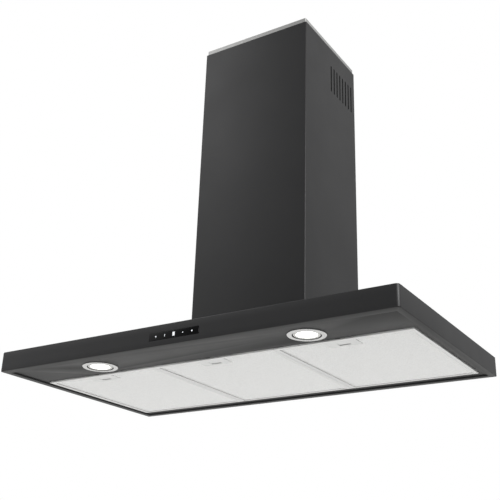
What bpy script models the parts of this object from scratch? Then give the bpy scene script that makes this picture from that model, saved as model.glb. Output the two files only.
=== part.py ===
"""Wall-mounted chimney range hood, in metres, +Z up.

The wall is the plane y = 0 and the hood stands out from it towards -Y. The origin lies on the wall
face of the motor box, midway between its two hanging keyholes. X runs along the canopy.
"""
import math

import bmesh
import bpy
from mathutils import Matrix, Vector

GAP = 0.0003                      # clearance between touching pieces

# Canopy: one folded sheet with a hemmed rim round its open underside.
CANOPY_WIDTH = 0.900
CANOPY_DEPTH = 0.500
CANOPY_HEIGHT = 0.041
CANOPY_SHEET = 0.0012
CANOPY_CORNER = 0.004             # bend radius of the upright front corners
RIM_FRONT = 0.027
RIM_SIDE = 0.024
RIM_REAR = 0.020
RIM_HEM = 0.0027                  # thickness of the doubled rim
HANG_HEIGHT = 0.270               # keyholes above the canopy's underside

# Tray: the recessed underside panel, with the light strip in front of the filter bay.
TRAY_SHEET = 0.0010
TRAY_MARGIN = 0.0015              # tray edge to the canopy's inner wall
LIGHT_STRIP = 0.0945
REAR_STRIP = 0.016
LEDGE_WIDTH = 0.012
RAIL_WIDTH = 0.024

# Filters: cassettes side by side, hinged on the round nose of their rear edge.
FILTER_NAMES = ("left", "centre", "right")
FILTER_GAP = 0.001
FILTER_THICKNESS = 0.009
FILTER_FLUSH = 0.0003             # how far the filters sit above the rim's plane
FILTER_BORDER = 0.008
GROOVE_DEPTH = 0.004              # how far the mesh reaches into the frame
GROOVE_LIP = 0.0015               # frame left on each side of the groove
LUG_SPREAD = 0.090                # rear lugs, either side of a filter's middle
LUG_WIDTH = 0.020
LUG_REACH = 0.009                 # lug beyond the rear nose
LUG_THICKNESS = 0.0015

# Filter latches: a sprung slide behind a plate at the front of each filter.
LATCH_OFFSET = -0.007             # latch middle from the filter's middle
HOUSING_WIDTH = 0.062
HOUSING_DEPTH = 0.0400
HOUSING_WALL = 0.005
HOUSING_SKIN = 0.0022             # plate under the slide
SLIDE_WIDTH = 0.040
SLIDE_LENGTH = 0.0235
SLIDE_THICKNESS = 0.0025
SLIDE_TRAVEL = 0.005
TONGUE_WIDTH = 0.010
TONGUE_REACH = 0.003
GRIP_WIDTH = 0.022
GRIP_LENGTH = 0.010
WINDOW_GAP = 0.0005               # air round the grip in its window

# Lamps, in the light strip.
LAMP_SPACING = 0.480
LAMP_FLANGE_RADIUS = 0.036
LAMP_FLANGE = 0.0020
LAMP_NECK_RADIUS = 0.0295
LAMP_NECK_HEIGHT = 0.011
LENS_RADIUS = 0.0250
LENS_THICKNESS = 0.0025
LENS_SEAT = 0.003                 # width of the shoulder behind the lens
MODULE_RADIUS = 0.0280
MODULE_HEIGHT = 0.012
DRIVER_SIZE = (0.090, 0.034, 0.018)

# Touch control in the middle of the canopy's front.
GLASS_WIDTH = 0.114
GLASS_HEIGHT = 0.0145
GLASS_THICKNESS = 0.0030
GLASS_PROUD = 0.0004
GLASS_MIDDLE = 0.0185             # above the canopy's underside
HOLDER_WALL = 0.005
HOLDER_DEPTH = 0.010
BOARD_THICKNESS = 0.0016

# Chimney: a fixed cover, and an extension that slides up inside it.
CHIMNEY_WIDTH = 0.286
CHIMNEY_DEPTH = 0.2575
CHIMNEY_TOP = 0.833               # cover's top edge above the canopy's underside
CHIMNEY_SHEET = 0.0010
CHIMNEY_CORNER = 0.003
CHIMNEY_RETURN = 0.014
EXTENSION_INSET = 0.0015          # air between the cover and the extension
EXTENSION_LENGTH = 0.480
EXTENSION_SHOWS = 0.0125          # extension above the cover when it is down
EXTENSION_RETURN = 0.010
VENT_COUNT = 8
VENT_PITCH = 0.0155
VENT_WIDTH = 0.005
VENT_HEIGHT = 0.073
VENT_REAR = 0.021                 # middle of the rearmost vent from the wall
VENT_BELOW_TOP = 0.050            # vent tops below the cover's top edge
BRACKET_HEIGHT = 0.035
BRACKET_SHEET = 0.0015
BRACKET_BELOW_TOP = 0.012
BRACKET_JOG = 0.008
BRACKET_ARM = 0.030

# Motor box, bolted to the canopy's top inside the chimney.
BOX_SIDE_ROOM = 0.017             # box side to the chimney's outer side
BOX_FRONT_ROOM = 0.0195
BOX_HEIGHT = 0.262
BOX_SHEET = 0.0012
BOX_FLANGE = 0.012
KEYHOLE_SPACING = 0.180
KEYHOLE_RADIUS = 0.0055
KEYHOLE_SLOT = 0.0028             # half width of the narrow part
KEYHOLE_RISE = 0.014
BOLT_HEAD_RADIUS = 0.0040
BOLT_HEAD = 0.0025
BOLT_RADIUS = 0.0019
BOLT_LENGTH = 0.008
BOLT_INSET = 0.030

# Blower.
SCROLL_WALL = 0.002
SCROLL_CLEARANCE = 0.0035         # scroll to the motor box
SCROLL_WIDTH = 0.130
SCROLL_GROWTH = 0.030             # radius gained round the scroll
TONGUE_ANGLE = math.radians(110)
INLET_RADIUS = 0.060
WHEEL_GAP = 0.008                 # wheel to the scroll at the tongue
WHEEL_RING = 0.011
WHEEL_END_GAP = 0.007
WHEEL_DISC = 0.002
WHEEL_DISC_PLACE = 0.013
BLADE_COUNT = 24
BLADE_GAP = 0.012
SHAFT_RADIUS = 0.004
HUB_RADIUS = 0.012
HUB_LENGTH = 0.016
MOTOR_RADIUS = 0.042
MOTOR_LENGTH = 0.080
MOTOR_AIR = 0.008                 # motor's end to the wheel's disc
SPIDER_RING = 0.006
SPIDER_THICKNESS = 0.003
CAPACITOR_RADIUS = 0.015
CAPACITOR_HEIGHT = 0.050

# Duct collar with two backdraught flaps.
COLLAR_DIAMETER = 0.150
COLLAR_WALL = 0.0015
COLLAR_HEIGHT = 0.055
COLLAR_FLANGE = 0.009
COLLAR_WALL_ROOM = 0.010          # collar's outside to the wall
AXLE_RADIUS = 0.002
AXLE_HEIGHT = 0.028
FLAP_GAP = 0.0017
FLAP_THICKNESS = 0.0015
FLAP_START = 0.0045
KNUCKLE_WALL = 0.0015
KNUCKLE_WIDTH = 0.016

# Mains terminal box on top of the motor box.
TERMINAL_WIDTH = 0.110
TERMINAL_HEIGHT = 0.032
TERMINAL_WALL = 0.002
TERMINAL_ROOM = 0.004             # to the collar's flange and to the box's front edge
TERMINAL_LID = 0.002
GLAND_RADIUS = 0.009
GLAND_NECK = 0.0065
GLAND_BORE = 0.0035
GLAND_REACH = 0.016

# Levels and places worked out from the sizes above.
BASE = -HANG_HEIGHT
CANOPY_TOP = BASE + CANOPY_HEIGHT
HALF_WIDTH = CANOPY_WIDTH / 2
BAY_HALF = HALF_WIDTH - RIM_SIDE
BAY_FRONT = -CANOPY_DEPTH + RIM_FRONT + LIGHT_STRIP
BAY_REAR = -RIM_REAR - REAR_STRIP
TRAY_Z = BASE + RIM_HEM + GAP
FILTER_WIDTH = (2 * BAY_HALF - (len(FILTER_NAMES) + 1) * FILTER_GAP) / len(FILTER_NAMES)
FILTER_PITCH = FILTER_WIDTH + FILTER_GAP
FILTER_FRONT = BAY_FRONT + FILTER_GAP
FILTER_REAR = BAY_REAR - FILTER_GAP
FILTER_Z = BASE + FILTER_FLUSH
NOSE = FILTER_THICKNESS / 2
HINGE_Y = FILTER_REAR - NOSE
HINGE_Z = FILTER_Z + NOSE
LEDGE_Z = FILTER_Z + FILTER_THICKNESS + GAP
BOX_HALF = CHIMNEY_WIDTH / 2 - BOX_SIDE_ROOM
BOX_DEPTH = CHIMNEY_DEPTH - BOX_FRONT_ROOM
BOX_BOTTOM = CANOPY_TOP + GAP
BOX_TOP = BOX_BOTTOM + BOX_HEIGHT
SCROLL_RADIUS = BOX_DEPTH / 2 - BOX_SHEET - SCROLL_CLEARANCE
WHEEL_RADIUS = SCROLL_RADIUS - SCROLL_GROWTH - WHEEL_GAP
FAN_Y = -BOX_DEPTH / 2
FAN_Z = BOX_BOTTOM + SCROLL_CLEARANCE + SCROLL_RADIUS
COLLAR_RADIUS = COLLAR_DIAMETER / 2
COLLAR_SETBACK = COLLAR_RADIUS + COLLAR_WALL_ROOM
COLLAR_Z = BOX_TOP + GAP
AXLE_Z = COLLAR_Z + AXLE_HEIGHT
COVER_BOTTOM = CANOPY_TOP + GAP
COVER_TOP = BASE + CHIMNEY_TOP
EXTENSION_TOP = COVER_TOP + EXTENSION_SHOWS


def finish(name, colour, roughness, metallic):
    """A plain Principled material; colour is linear red, green, blue."""
    material = bpy.data.materials.new(name)
    material.use_nodes = True
    shader = material.node_tree.nodes["Principled BSDF"]
    shader.inputs["Base Color"].default_value = (*colour, 1)
    shader.inputs["Roughness"].default_value = roughness
    shader.inputs["Metallic"].default_value = metallic
    return material


def clear_scene():
    for item in list(bpy.data.objects):
        bpy.data.objects.remove(item, do_unlink=True)


# Shapes, each returned as a bmesh in world coordinates.

def block(low, high, into=None):
    """A box between two corners."""
    bm = into or bmesh.new()
    low, high = Vector(low), Vector(high)
    place = Matrix.LocRotScale((low + high) / 2, None, high - low)
    bmesh.ops.create_cube(bm, size=1, matrix=place)
    return bm


def blocks(pairs):
    """Boxes that don't touch, in one mesh."""
    bm = bmesh.new()
    for low, high in pairs:
        block(low, high, bm)
    return bm


def prism(outline, axis, start, end, into=None):
    """An outline swept along an axis. Its points are (x, y) for Z, (y, z) for X and (x, z) for Y."""
    bm = into or bmesh.new()
    places = {"X": lambda a, b: (start, a, b), "Y": lambda a, b: (a, start, b), "Z": lambda a, b: (a, b, start)}
    step = {"X": (end - start, 0, 0), "Y": (0, end - start, 0), "Z": (0, 0, end - start)}[axis]
    face = bm.faces.new([bm.verts.new(places[axis](a, b)) for a, b in outline])
    swept = bmesh.ops.extrude_face_region(bm, geom=[face])
    moved = [item for item in swept["geom"] if isinstance(item, bmesh.types.BMVert)]
    bmesh.ops.translate(bm, verts=moved, vec=step)
    bmesh.ops.recalc_face_normals(bm, faces=bm.faces)
    return bm


def arc(centre, radius, start, end, steps):
    """Points on an arc, both ends included; angles in radians."""
    turn = (end - start) / steps
    return [
        (centre[0] + radius * math.cos(start + turn * i), centre[1] + radius * math.sin(start + turn * i))
        for i in range(steps + 1)
    ]


def turned(profile, centre, axis="Z", steps=32, into=None):
    """A closed profile of (radius, height) points turned about an axis through centre."""
    bm = bmesh.new()
    verts = [bm.verts.new((radius, 0, height)) for radius, height in profile]
    edges = [bm.edges.new((verts[i - 1], verts[i])) for i in range(len(verts))]
    on_axis = [e for e in edges if max(v.co.x for v in e.verts) < 1e-9]
    bmesh.ops.delete(bm, geom=on_axis, context="EDGES")
    bmesh.ops.spin(
        bm, geom=bm.verts[:] + bm.edges[:], cent=(0, 0, 0), axis=(0, 0, 1),
        angle=2 * math.pi, steps=steps, use_merge=True,
    )
    bmesh.ops.remove_doubles(bm, verts=bm.verts, dist=1e-6)
    bmesh.ops.recalc_face_normals(bm, faces=bm.faces)
    lean = {"X": Matrix.Rotation(math.pi / 2, 4, "Y"), "Y": Matrix.Rotation(-math.pi / 2, 4, "X"), "Z": Matrix()}
    bm.transform(Matrix.Translation(centre) @ lean[axis])
    if into is None:
        return bm
    mesh = bpy.data.meshes.new("part")
    bm.to_mesh(mesh)
    bm.free()
    into.from_mesh(mesh)
    bpy.data.meshes.remove(mesh)
    return into


def rod(radius, start, end, centre, axis="Z", steps=24, into=None):
    """A plain cylinder from start to end along an axis through centre."""
    return turned([(0, start), (radius, start), (radius, end), (0, end)], centre, axis, steps, into)


# Objects.

def add(name, bm, material, origin=(0, 0, 0), parent=None, smooth=False):
    """The finished object of a sub-part, its own origin at the given world point."""
    mesh = bpy.data.meshes.new(name)
    bm.to_mesh(mesh)
    bm.free()
    mesh.transform(Matrix.Translation(-Vector(origin)))
    if smooth:
        mesh.shade_smooth()
        mesh.set_sharp_from_angle(angle=math.radians(35))
    mesh.materials.append(material)
    item = bpy.data.objects.new(name, mesh)
    bpy.context.collection.objects.link(item)
    item.location = Vector(origin)
    if parent:
        item.parent = parent
        item.location = Vector(origin) - Vector(parent["pivot"])
    return item


def pivot(name, place, parent=None):
    """An empty on a joint's axis, which the joint's pieces are parented to."""
    item = bpy.data.objects.new(name, None)
    bpy.context.collection.objects.link(item)
    item["pivot"] = place
    item.location = Vector(place)
    if parent:
        item.parent = parent
        item.location = Vector(place) - Vector(parent["pivot"])
    return item


def shape_with(item, bm, operation, label):
    """A live exact Boolean of an object with a hidden wire-shown helper."""
    mesh = bpy.data.meshes.new(label)
    bm.to_mesh(mesh)
    bm.free()
    helper = bpy.data.objects.new(f"{item.name}_{label}", mesh)
    bpy.context.collection.objects.link(helper)
    helper.hide_render = True
    helper.display_type = "WIRE"
    boolean = item.modifiers.new(label, "BOOLEAN")
    boolean.operation = operation
    boolean.solver = "EXACT"
    boolean.object = helper


def cut(item, bm, label):
    shape_with(item, bm, "DIFFERENCE", label)


def fuse(item, bm, label):
    shape_with(item, bm, "UNION", label)


# Sub-parts.

def bolt_places():
    """The four bolts through the motor box's side flanges."""
    x = BOX_HALF + BOX_FLANGE / 2
    return [(side * x, y) for side in (-1, 1) for y in (-BOLT_INSET, BOLT_INSET - BOX_DEPTH)]


def make_canopy(steel):
    shell = block((-HALF_WIDTH, -CANOPY_DEPTH, BASE), (HALF_WIDTH, 0, CANOPY_TOP))
    corners = [e for e in shell.edges if all(v.co.y < -CANOPY_DEPTH / 2 for v in e.verts)
               and abs(e.verts[0].co.z - e.verts[1].co.z) > CANOPY_HEIGHT / 2]
    bmesh.ops.bevel(shell, geom=corners, offset=CANOPY_CORNER, offset_type="OFFSET", segments=4,
                    profile=0.5, affect="EDGES", material=-1)
    canopy = add("canopy_shell", shell, steel)
    inner = CANOPY_SHEET
    cut(canopy, block((-HALF_WIDTH + inner, -CANOPY_DEPTH + inner, BASE + RIM_HEM),
                      (HALF_WIDTH - inner, -inner, CANOPY_TOP - inner)), "hollow")
    cut(canopy, block((-BAY_HALF, -CANOPY_DEPTH + RIM_FRONT, BASE - 1),
                      (BAY_HALF, -RIM_REAR, BASE + RIM_HEM * 2)), "underside")
    cut(canopy, block((-BOX_HALF + BOX_SHEET, -BOX_DEPTH + BOX_SHEET, CANOPY_TOP - inner * 2),
                      (BOX_HALF - BOX_SHEET, -BOX_SHEET - RIM_HEM, CANOPY_TOP + 1)), "air_opening")
    middle = BASE + GLASS_MIDDLE
    cut(canopy, block((-GLASS_WIDTH / 2 - GAP, -CANOPY_DEPTH - 1, middle - GLASS_HEIGHT / 2 - GAP),
                      (GLASS_WIDTH / 2 + GAP, -CANOPY_DEPTH + inner * 2, middle + GLASS_HEIGHT / 2 + GAP)),
        "control_window")
    holes = bmesh.new()
    for x, y in bolt_places():
        rod(BOLT_RADIUS + GAP, CANOPY_TOP - inner * 2, CANOPY_TOP + inner, (x, y, 0), steps=12, into=holes)
    cut(canopy, holes, "bolt_holes")


def make_tray(steel):
    """The underside panel: light strip, filter bay and the ledge above the filters."""
    edge = CANOPY_SHEET + TRAY_MARGIN
    t = TRAY_SHEET
    tray = add("filter_tray", block((-HALF_WIDTH + edge, -CANOPY_DEPTH + edge, TRAY_Z),
                                    (HALF_WIDTH - edge, -edge, TRAY_Z + t)), steel)
    fuse(tray, block((-BAY_HALF - t, BAY_FRONT - t, TRAY_Z + t / 4),
                     (BAY_HALF + t, BAY_REAR + t, LEDGE_Z + t)), "upstand")
    cut(tray, block((-BAY_HALF, BAY_FRONT, BASE - 1), (BAY_HALF, BAY_REAR, LEDGE_Z)), "bay")
    ledge = LEDGE_WIDTH
    cut(tray, block((-BAY_HALF + ledge, BAY_FRONT + ledge, BASE), (BAY_HALF - ledge, BAY_REAR - ledge, 0)),
        "air_opening")
    lamp_y = -CANOPY_DEPTH + RIM_FRONT + LIGHT_STRIP / 2
    holes = bmesh.new()
    for side in (-1, 1):
        place = (side * LAMP_SPACING / 2, lamp_y, 0)
        rod(LAMP_NECK_RADIUS + GAP, TRAY_Z - t, TRAY_Z + 2 * t, place, steps=40, into=holes)
    cut(tray, holes, "lamp_holes")
    lugs, notches = [], []
    for i in range(len(FILTER_NAMES)):
        middle = filter_middle(i)
        for side in (-1, 1):
            x = middle + side * LUG_SPREAD
            half = LUG_WIDTH / 2 + FILTER_GAP
            lugs.append(((x - half, BAY_REAR - ledge - t, TRAY_Z + 2 * t), (x + half, BAY_REAR + 2 * t, 0)))
        x = middle + LATCH_OFFSET
        half = TONGUE_WIDTH / 2 + FILTER_GAP
        notches.append(((x - half, FILTER_FRONT - TONGUE_REACH - FILTER_GAP, BASE),
                        (x + half, BAY_FRONT + t, LEDGE_Z)))
    cut(tray, blocks(lugs), "lug_slots")
    cut(tray, blocks(notches), "tongue_notches")
    for side, name in ((-1, "left"), (1, "right")):
        x = side * (FILTER_WIDTH + FILTER_GAP) / 2
        z = LEDGE_Z + t + GAP
        add(f"tray_rail_{name}", block((x - RAIL_WIDTH / 2, BAY_FRONT, z), (x + RAIL_WIDTH / 2, BAY_REAR, z + t)),
            steel)


def filter_middle(i):
    return (i - (len(FILTER_NAMES) - 1) / 2) * FILTER_PITCH


def window_outline(middle, reach, room):
    """A filter's mesh opening with a bay for the latch housing; reach grows it into the frame's groove."""
    side = FILTER_WIDTH / 2 - FILTER_BORDER + reach - room
    front = FILTER_FRONT + FILTER_BORDER - reach + room
    rear = FILTER_REAR - 2 * NOSE - room
    left, right = middle - side, middle + side
    housing_left = middle + LATCH_OFFSET - HOUSING_WIDTH / 2 - room
    housing_right = middle + LATCH_OFFSET + HOUSING_WIDTH / 2 + room
    housing_rear = FILTER_FRONT + HOUSING_DEPTH + room
    return [(left, front), (housing_left, front), (housing_left, housing_rear), (housing_right, housing_rear),
            (housing_right, front), (right, front), (right, rear), (left, rear)]


def make_filter(i, steel, mesh_metal):
    name = FILTER_NAMES[i]
    middle = filter_middle(i)
    hinge = pivot(f"filter_{name}_hinge", (middle, HINGE_Y, HINGE_Z))
    top = FILTER_Z + FILTER_THICKNESS
    nose = arc((HINGE_Y, HINGE_Z), NOSE, -math.pi / 2, math.pi / 2, 8)
    side_view = [(FILTER_FRONT, FILTER_Z)] + nose + [(FILTER_FRONT, top)]
    body = prism(side_view, "X", middle - FILTER_WIDTH / 2, middle + FILTER_WIDTH / 2)
    frame = add(f"filter_frame_{name}", body, steel, (middle, HINGE_Y, HINGE_Z), hinge)
    lug_middles = [middle + side * LUG_SPREAD for side in (-1, 1)]
    fuse(frame, blocks([((x - LUG_WIDTH / 2, HINGE_Y - GAP, HINGE_Z + GAP),
                         (x + LUG_WIDTH / 2, FILTER_REAR + LUG_REACH, HINGE_Z + GAP + LUG_THICKNESS))
                        for x in lug_middles]), "lugs")
    cut(frame, prism(window_outline(middle, 0, 0), "Z", BASE - 1, 1), "window")
    groove_low, groove_high = FILTER_Z + GROOVE_LIP, top - GROOVE_LIP
    cut(frame, prism(window_outline(middle, GROOVE_DEPTH, 0), "Z", groove_low, groove_high), "groove")

    # The latch housing's hollow, the tongue's way out and the thumb window.
    x = middle + LATCH_OFFSET
    low, high = FILTER_Z + HOUSING_SKIN, top - HOUSING_SKIN
    wall = HOUSING_WALL
    cut(frame, block((x - SLIDE_WIDTH / 2 - FILTER_GAP, FILTER_FRONT + wall, low),
                     (x + SLIDE_WIDTH / 2 + FILTER_GAP, FILTER_FRONT + HOUSING_DEPTH - wall, high)), "latch_room")
    slide_rear = FILTER_FRONT + HOUSING_DEPTH - wall - SLIDE_TRAVEL - FILTER_GAP
    slide_front = slide_rear - SLIDE_LENGTH
    slide_low = low + GAP
    slide_high = slide_low + SLIDE_THICKNESS
    cut(frame, block((x - TONGUE_WIDTH / 2 - GAP, FILTER_FRONT - 1, slide_low - GAP / 2),
                     (x + TONGUE_WIDTH / 2 + GAP, FILTER_FRONT + wall * 2, slide_high + GAP)), "tongue_way")
    cut(frame, block((x - GRIP_WIDTH / 2 - WINDOW_GAP, slide_rear - GRIP_LENGTH - WINDOW_GAP, BASE - 1),
                     (x + GRIP_WIDTH / 2 + WINDOW_GAP, slide_rear + SLIDE_TRAVEL, low + GAP)), "thumb_window")

    pad = prism(window_outline(middle, GROOVE_DEPTH, GAP), "Z", groove_low + GAP, groove_high - GAP)
    add(f"filter_mesh_{name}", pad, mesh_metal, (middle, HINGE_Y, HINGE_Z), hinge)

    slide_home = (x, slide_rear, slide_low)
    catch = pivot(f"filter_{name}_catch", slide_home, hinge)
    slide = block((x - SLIDE_WIDTH / 2, slide_front, slide_low), (x + SLIDE_WIDTH / 2, slide_rear, slide_high))
    latch = add(f"filter_latch_{name}", slide, steel, slide_home, catch)
    fuse(latch, block((x - TONGUE_WIDTH / 2, FILTER_FRONT - TONGUE_REACH, slide_low),
                      (x + TONGUE_WIDTH / 2, slide_front + GAP, slide_high - GAP)), "tongue")
    fuse(latch, block((x - GRIP_WIDTH / 2, slide_rear - GRIP_LENGTH, FILTER_Z + GAP),
                      (x + GRIP_WIDTH / 2, slide_rear - GAP, slide_low + GAP)), "grip")


def make_lamp(side, name, chrome, lens_glass, alloy):
    x, y = side * LAMP_SPACING / 2, -CANOPY_DEPTH + RIM_FRONT + LIGHT_STRIP / 2
    flange_top = TRAY_Z - GAP
    flange_low = flange_top - LAMP_FLANGE
    neck_top = TRAY_Z + LAMP_NECK_HEIGHT
    lens_low = flange_low + 0.4 * LAMP_FLANGE
    shoulder = lens_low + LENS_THICKNESS + GAP
    bore = LENS_RADIUS + GAP
    edge = 0.25 * LAMP_FLANGE
    profile = [(bore, flange_low + edge), (bore + edge, flange_low), (LAMP_FLANGE_RADIUS - 3 * edge, flange_low),
               (LAMP_FLANGE_RADIUS, flange_low + 2 * edge), (LAMP_FLANGE_RADIUS, flange_top),
               (LAMP_NECK_RADIUS, flange_top), (LAMP_NECK_RADIUS, neck_top), (bore - LENS_SEAT, neck_top),
               (bore - LENS_SEAT, shoulder), (bore, shoulder)]
    add(f"lamp_bezel_{name}", turned(profile, (x, y, 0), steps=40), chrome, (x, y, flange_top), smooth=True)
    add(f"lamp_lens_{name}", rod(LENS_RADIUS, lens_low, shoulder - GAP, (x, y, 0), steps=40), lens_glass,
        (x, y, lens_low), smooth=True)
    low = neck_top + GAP
    fin = MODULE_HEIGHT / 6
    core = MODULE_RADIUS * 0.8
    profile = [(0, low), (MODULE_RADIUS, low)]
    for k in range(1, 6):
        before, after = (MODULE_RADIUS, core) if k % 2 else (core, MODULE_RADIUS)
        profile += [(before, low + k * fin), (after, low + k * fin)]
    profile += [(core, low + 6 * fin), (0, low + 6 * fin)]
    add(f"lamp_module_{name}", turned(profile, (x, y, 0), steps=24), alloy, (x, y, low), smooth=True)


def make_controls(glass, plastic, board_material):
    z = BASE + GLASS_MIDDLE
    front = -CANOPY_DEPTH - GLASS_PROUD
    add("control_glass", block((-GLASS_WIDTH / 2, front, z - GLASS_HEIGHT / 2),
                               (GLASS_WIDTH / 2, front + GLASS_THICKNESS, z + GLASS_HEIGHT / 2)), glass)
    holder_front = -CANOPY_DEPTH + CANOPY_SHEET + GAP
    half_w, half_h = GLASS_WIDTH / 2 + HOLDER_WALL, GLASS_HEIGHT / 2 + HOLDER_WALL
    holder = add("control_holder", block((-half_w, holder_front, z - half_h),
                                         (half_w, holder_front + HOLDER_DEPTH, z + half_h)), plastic)
    cut(holder, block((-GLASS_WIDTH / 2 - 2 * GAP, holder_front - 1, z - GLASS_HEIGHT / 2 - 2 * GAP),
                      (GLASS_WIDTH / 2 + 2 * GAP, holder_front + HOLDER_DEPTH * 0.7, z + GLASS_HEIGHT / 2 + 2 * GAP)),
        "pocket")
    cut(holder, rod(GLASS_HEIGHT / 4, holder_front, holder_front + 2 * HOLDER_DEPTH, (GLASS_WIDTH / 4, 0, z), "Y", 16),
        "lead_hole")
    board_y = front + GLASS_THICKNESS + GAP
    add("control_board", block((-GLASS_WIDTH / 2 + 2 * GAP, board_y, z - GLASS_HEIGHT / 2 + 2 * GAP),
                               (GLASS_WIDTH / 2 - 2 * GAP, board_y + BOARD_THICKNESS, z + GLASS_HEIGHT / 2 - 2 * GAP)),
        board_material)


def make_driver(plastic):
    """The lamps' power supply, on the tray between the lamps."""
    w, d, h = DRIVER_SIZE
    y = -CANOPY_DEPTH + RIM_FRONT + LIGHT_STRIP / 2
    low = TRAY_Z + TRAY_SHEET + GAP
    body = block((-w - w / 2, y - d / 2, low), (-w / 2, y + d / 2, low + h))
    top = [e for e in body.edges if all(v.co.z > low + h / 2 for v in e.verts)]
    bmesh.ops.bevel(body, geom=top, offset=h / 9, offset_type="OFFSET", segments=2, profile=0.5,
                    affect="EDGES", material=-1)
    add("lamp_driver", body, plastic)


def keyhole(x, z):
    """A round hole with a narrower slot above it, as (x, z) points."""
    lean = math.acos(KEYHOLE_SLOT / KEYHOLE_RADIUS)
    big = arc((x, z - KEYHOLE_RISE), KEYHOLE_RADIUS, math.pi - lean, 2 * math.pi + lean, 12)
    small = arc((x, z), KEYHOLE_SLOT, 0, math.pi, 6)
    return big + small


def make_motor_box(steel):
    t = BOX_SHEET
    box = add("motor_box", block((-BOX_HALF, -BOX_DEPTH, BOX_BOTTOM + t / 2), (BOX_HALF, 0, BOX_TOP)), steel)
    flange = BOX_FLANGE
    fuse(box, block((-BOX_HALF - flange, -BOX_DEPTH - flange, BOX_BOTTOM),
                    (BOX_HALF + flange, -2 * t, BOX_BOTTOM + t)), "flange")
    cut(box, block((-BOX_HALF + t, -BOX_DEPTH + t, BOX_BOTTOM - 1), (BOX_HALF - t, -t, BOX_TOP - t)), "hollow")
    cut(box, rod(COLLAR_RADIUS - COLLAR_WALL, BOX_TOP - 2 * t, BOX_TOP + t, (0, -COLLAR_SETBACK, 0), steps=48),
        "outlet")
    holes = bmesh.new()
    for side in (-1, 1):
        prism(keyhole(side * KEYHOLE_SPACING / 2, 0), "Y", -2 * t, t, holes)
    cut(box, holes, "keyholes")
    bolt_holes = bmesh.new()
    for x, y in bolt_places():
        rod(BOLT_RADIUS + GAP, BOX_BOTTOM - t, BOX_BOTTOM + 2 * t, (x, y, 0), steps=12, into=bolt_holes)
    cut(box, bolt_holes, "bolt_holes")


def make_bolts(zinc):
    low = BOX_BOTTOM + BOX_SHEET + GAP
    for i, (x, y) in enumerate(bolt_places()):
        profile = [(0, low + BOLT_HEAD), (BOLT_HEAD_RADIUS * 0.7, low + BOLT_HEAD), (BOLT_HEAD_RADIUS, low),
                   (BOLT_RADIUS, low), (BOLT_RADIUS, low - BOLT_LENGTH), (0, low - BOLT_LENGTH)]
        add(f"box_bolt_{i + 1}", turned(profile, (x, y, 0), steps=12), zinc, (x, y, low), smooth=True)


def scroll_outline(shrink):
    """The scroll seen along X, as (y, z) points: a growing spiral, then a straight throat to the top."""
    steps = 28
    sweep = 2 * math.pi - TONGUE_ANGLE
    points = []
    for i in range(steps + 1):
        angle = TONGUE_ANGLE + sweep * i / steps
        radius = SCROLL_RADIUS - SCROLL_GROWTH * (1 - i / steps) - shrink
        points.append((FAN_Y + radius * math.cos(angle), FAN_Z + radius * math.sin(angle)))
    throat = FAN_Y + (SCROLL_RADIUS - SCROLL_GROWTH) * math.cos(TONGUE_ANGLE) + shrink
    top = BOX_TOP - BOX_SHEET - GAP + 5 * shrink
    points += [(points[-1][0], top), (throat, top)]
    return points + [(throat, points[0][1] + shrink)] if shrink else points


def make_scroll(side, name, plastic):
    """Half of the blower's housing, split on the hood's middle plane."""
    near, far = side * GAP / 2, side * SCROLL_WIDTH / 2
    outer = prism(scroll_outline(0), "X", near, far)
    half = add(f"scroll_{name}", outer, plastic, (0, FAN_Y, FAN_Z), smooth=True)
    cut(half, prism(scroll_outline(SCROLL_WALL), "X", near - side * 0.01, far - side * SCROLL_WALL), "hollow")
    cut(half, rod(INLET_RADIUS, -0.01, 0.01, (far, FAN_Y, FAN_Z), "X", 36), "inlet")


def make_wheel(plastic):
    """The double-inlet wheel: two rings and a disc, with the openings between the blades cut out."""
    half = SCROLL_WIDTH / 2 - SCROLL_WALL - WHEEL_END_GAP
    inner = WHEEL_RADIUS - WHEEL_RING
    disc = WHEEL_DISC_PLACE
    profile = [(WHEEL_RADIUS, -half), (WHEEL_RADIUS, half), (inner, half), (inner, disc + WHEEL_DISC),
               (HUB_RADIUS, disc + WHEEL_DISC), (HUB_RADIUS, disc + HUB_LENGTH), (SHAFT_RADIUS + GAP, disc + HUB_LENGTH),
               (SHAFT_RADIUS + GAP, disc), (inner, disc), (inner, -half)]
    wheel = pivot("wheel_axis", (0, FAN_Y, FAN_Z))
    body = turned(profile, (0, FAN_Y, FAN_Z), "X", 2 * BLADE_COUNT)
    item = add("fan_wheel", body, plastic, (0, FAN_Y, FAN_Z), wheel, smooth=True)
    ring = 3 * WHEEL_DISC
    gaps = bmesh.new()
    for start, end in ((-half + ring, disc - WHEEL_DISC), (disc + 2 * WHEEL_DISC, half - ring)):
        for k in range(BLADE_COUNT):
            angle = 2 * math.pi * (k + 0.25) / BLADE_COUNT
            turn = Matrix.Translation((0, FAN_Y, FAN_Z)) @ Matrix.Rotation(angle, 4, "X")
            opening = Matrix.LocRotScale(((start + end) / 2, 0, WHEEL_RADIUS - WHEEL_RING / 2), None,
                                         (end - start, BLADE_GAP, 2 * WHEEL_RING))
            bmesh.ops.create_cube(gaps, size=1, matrix=turn @ opening)
    cut(item, gaps, "blade_gaps")


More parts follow.
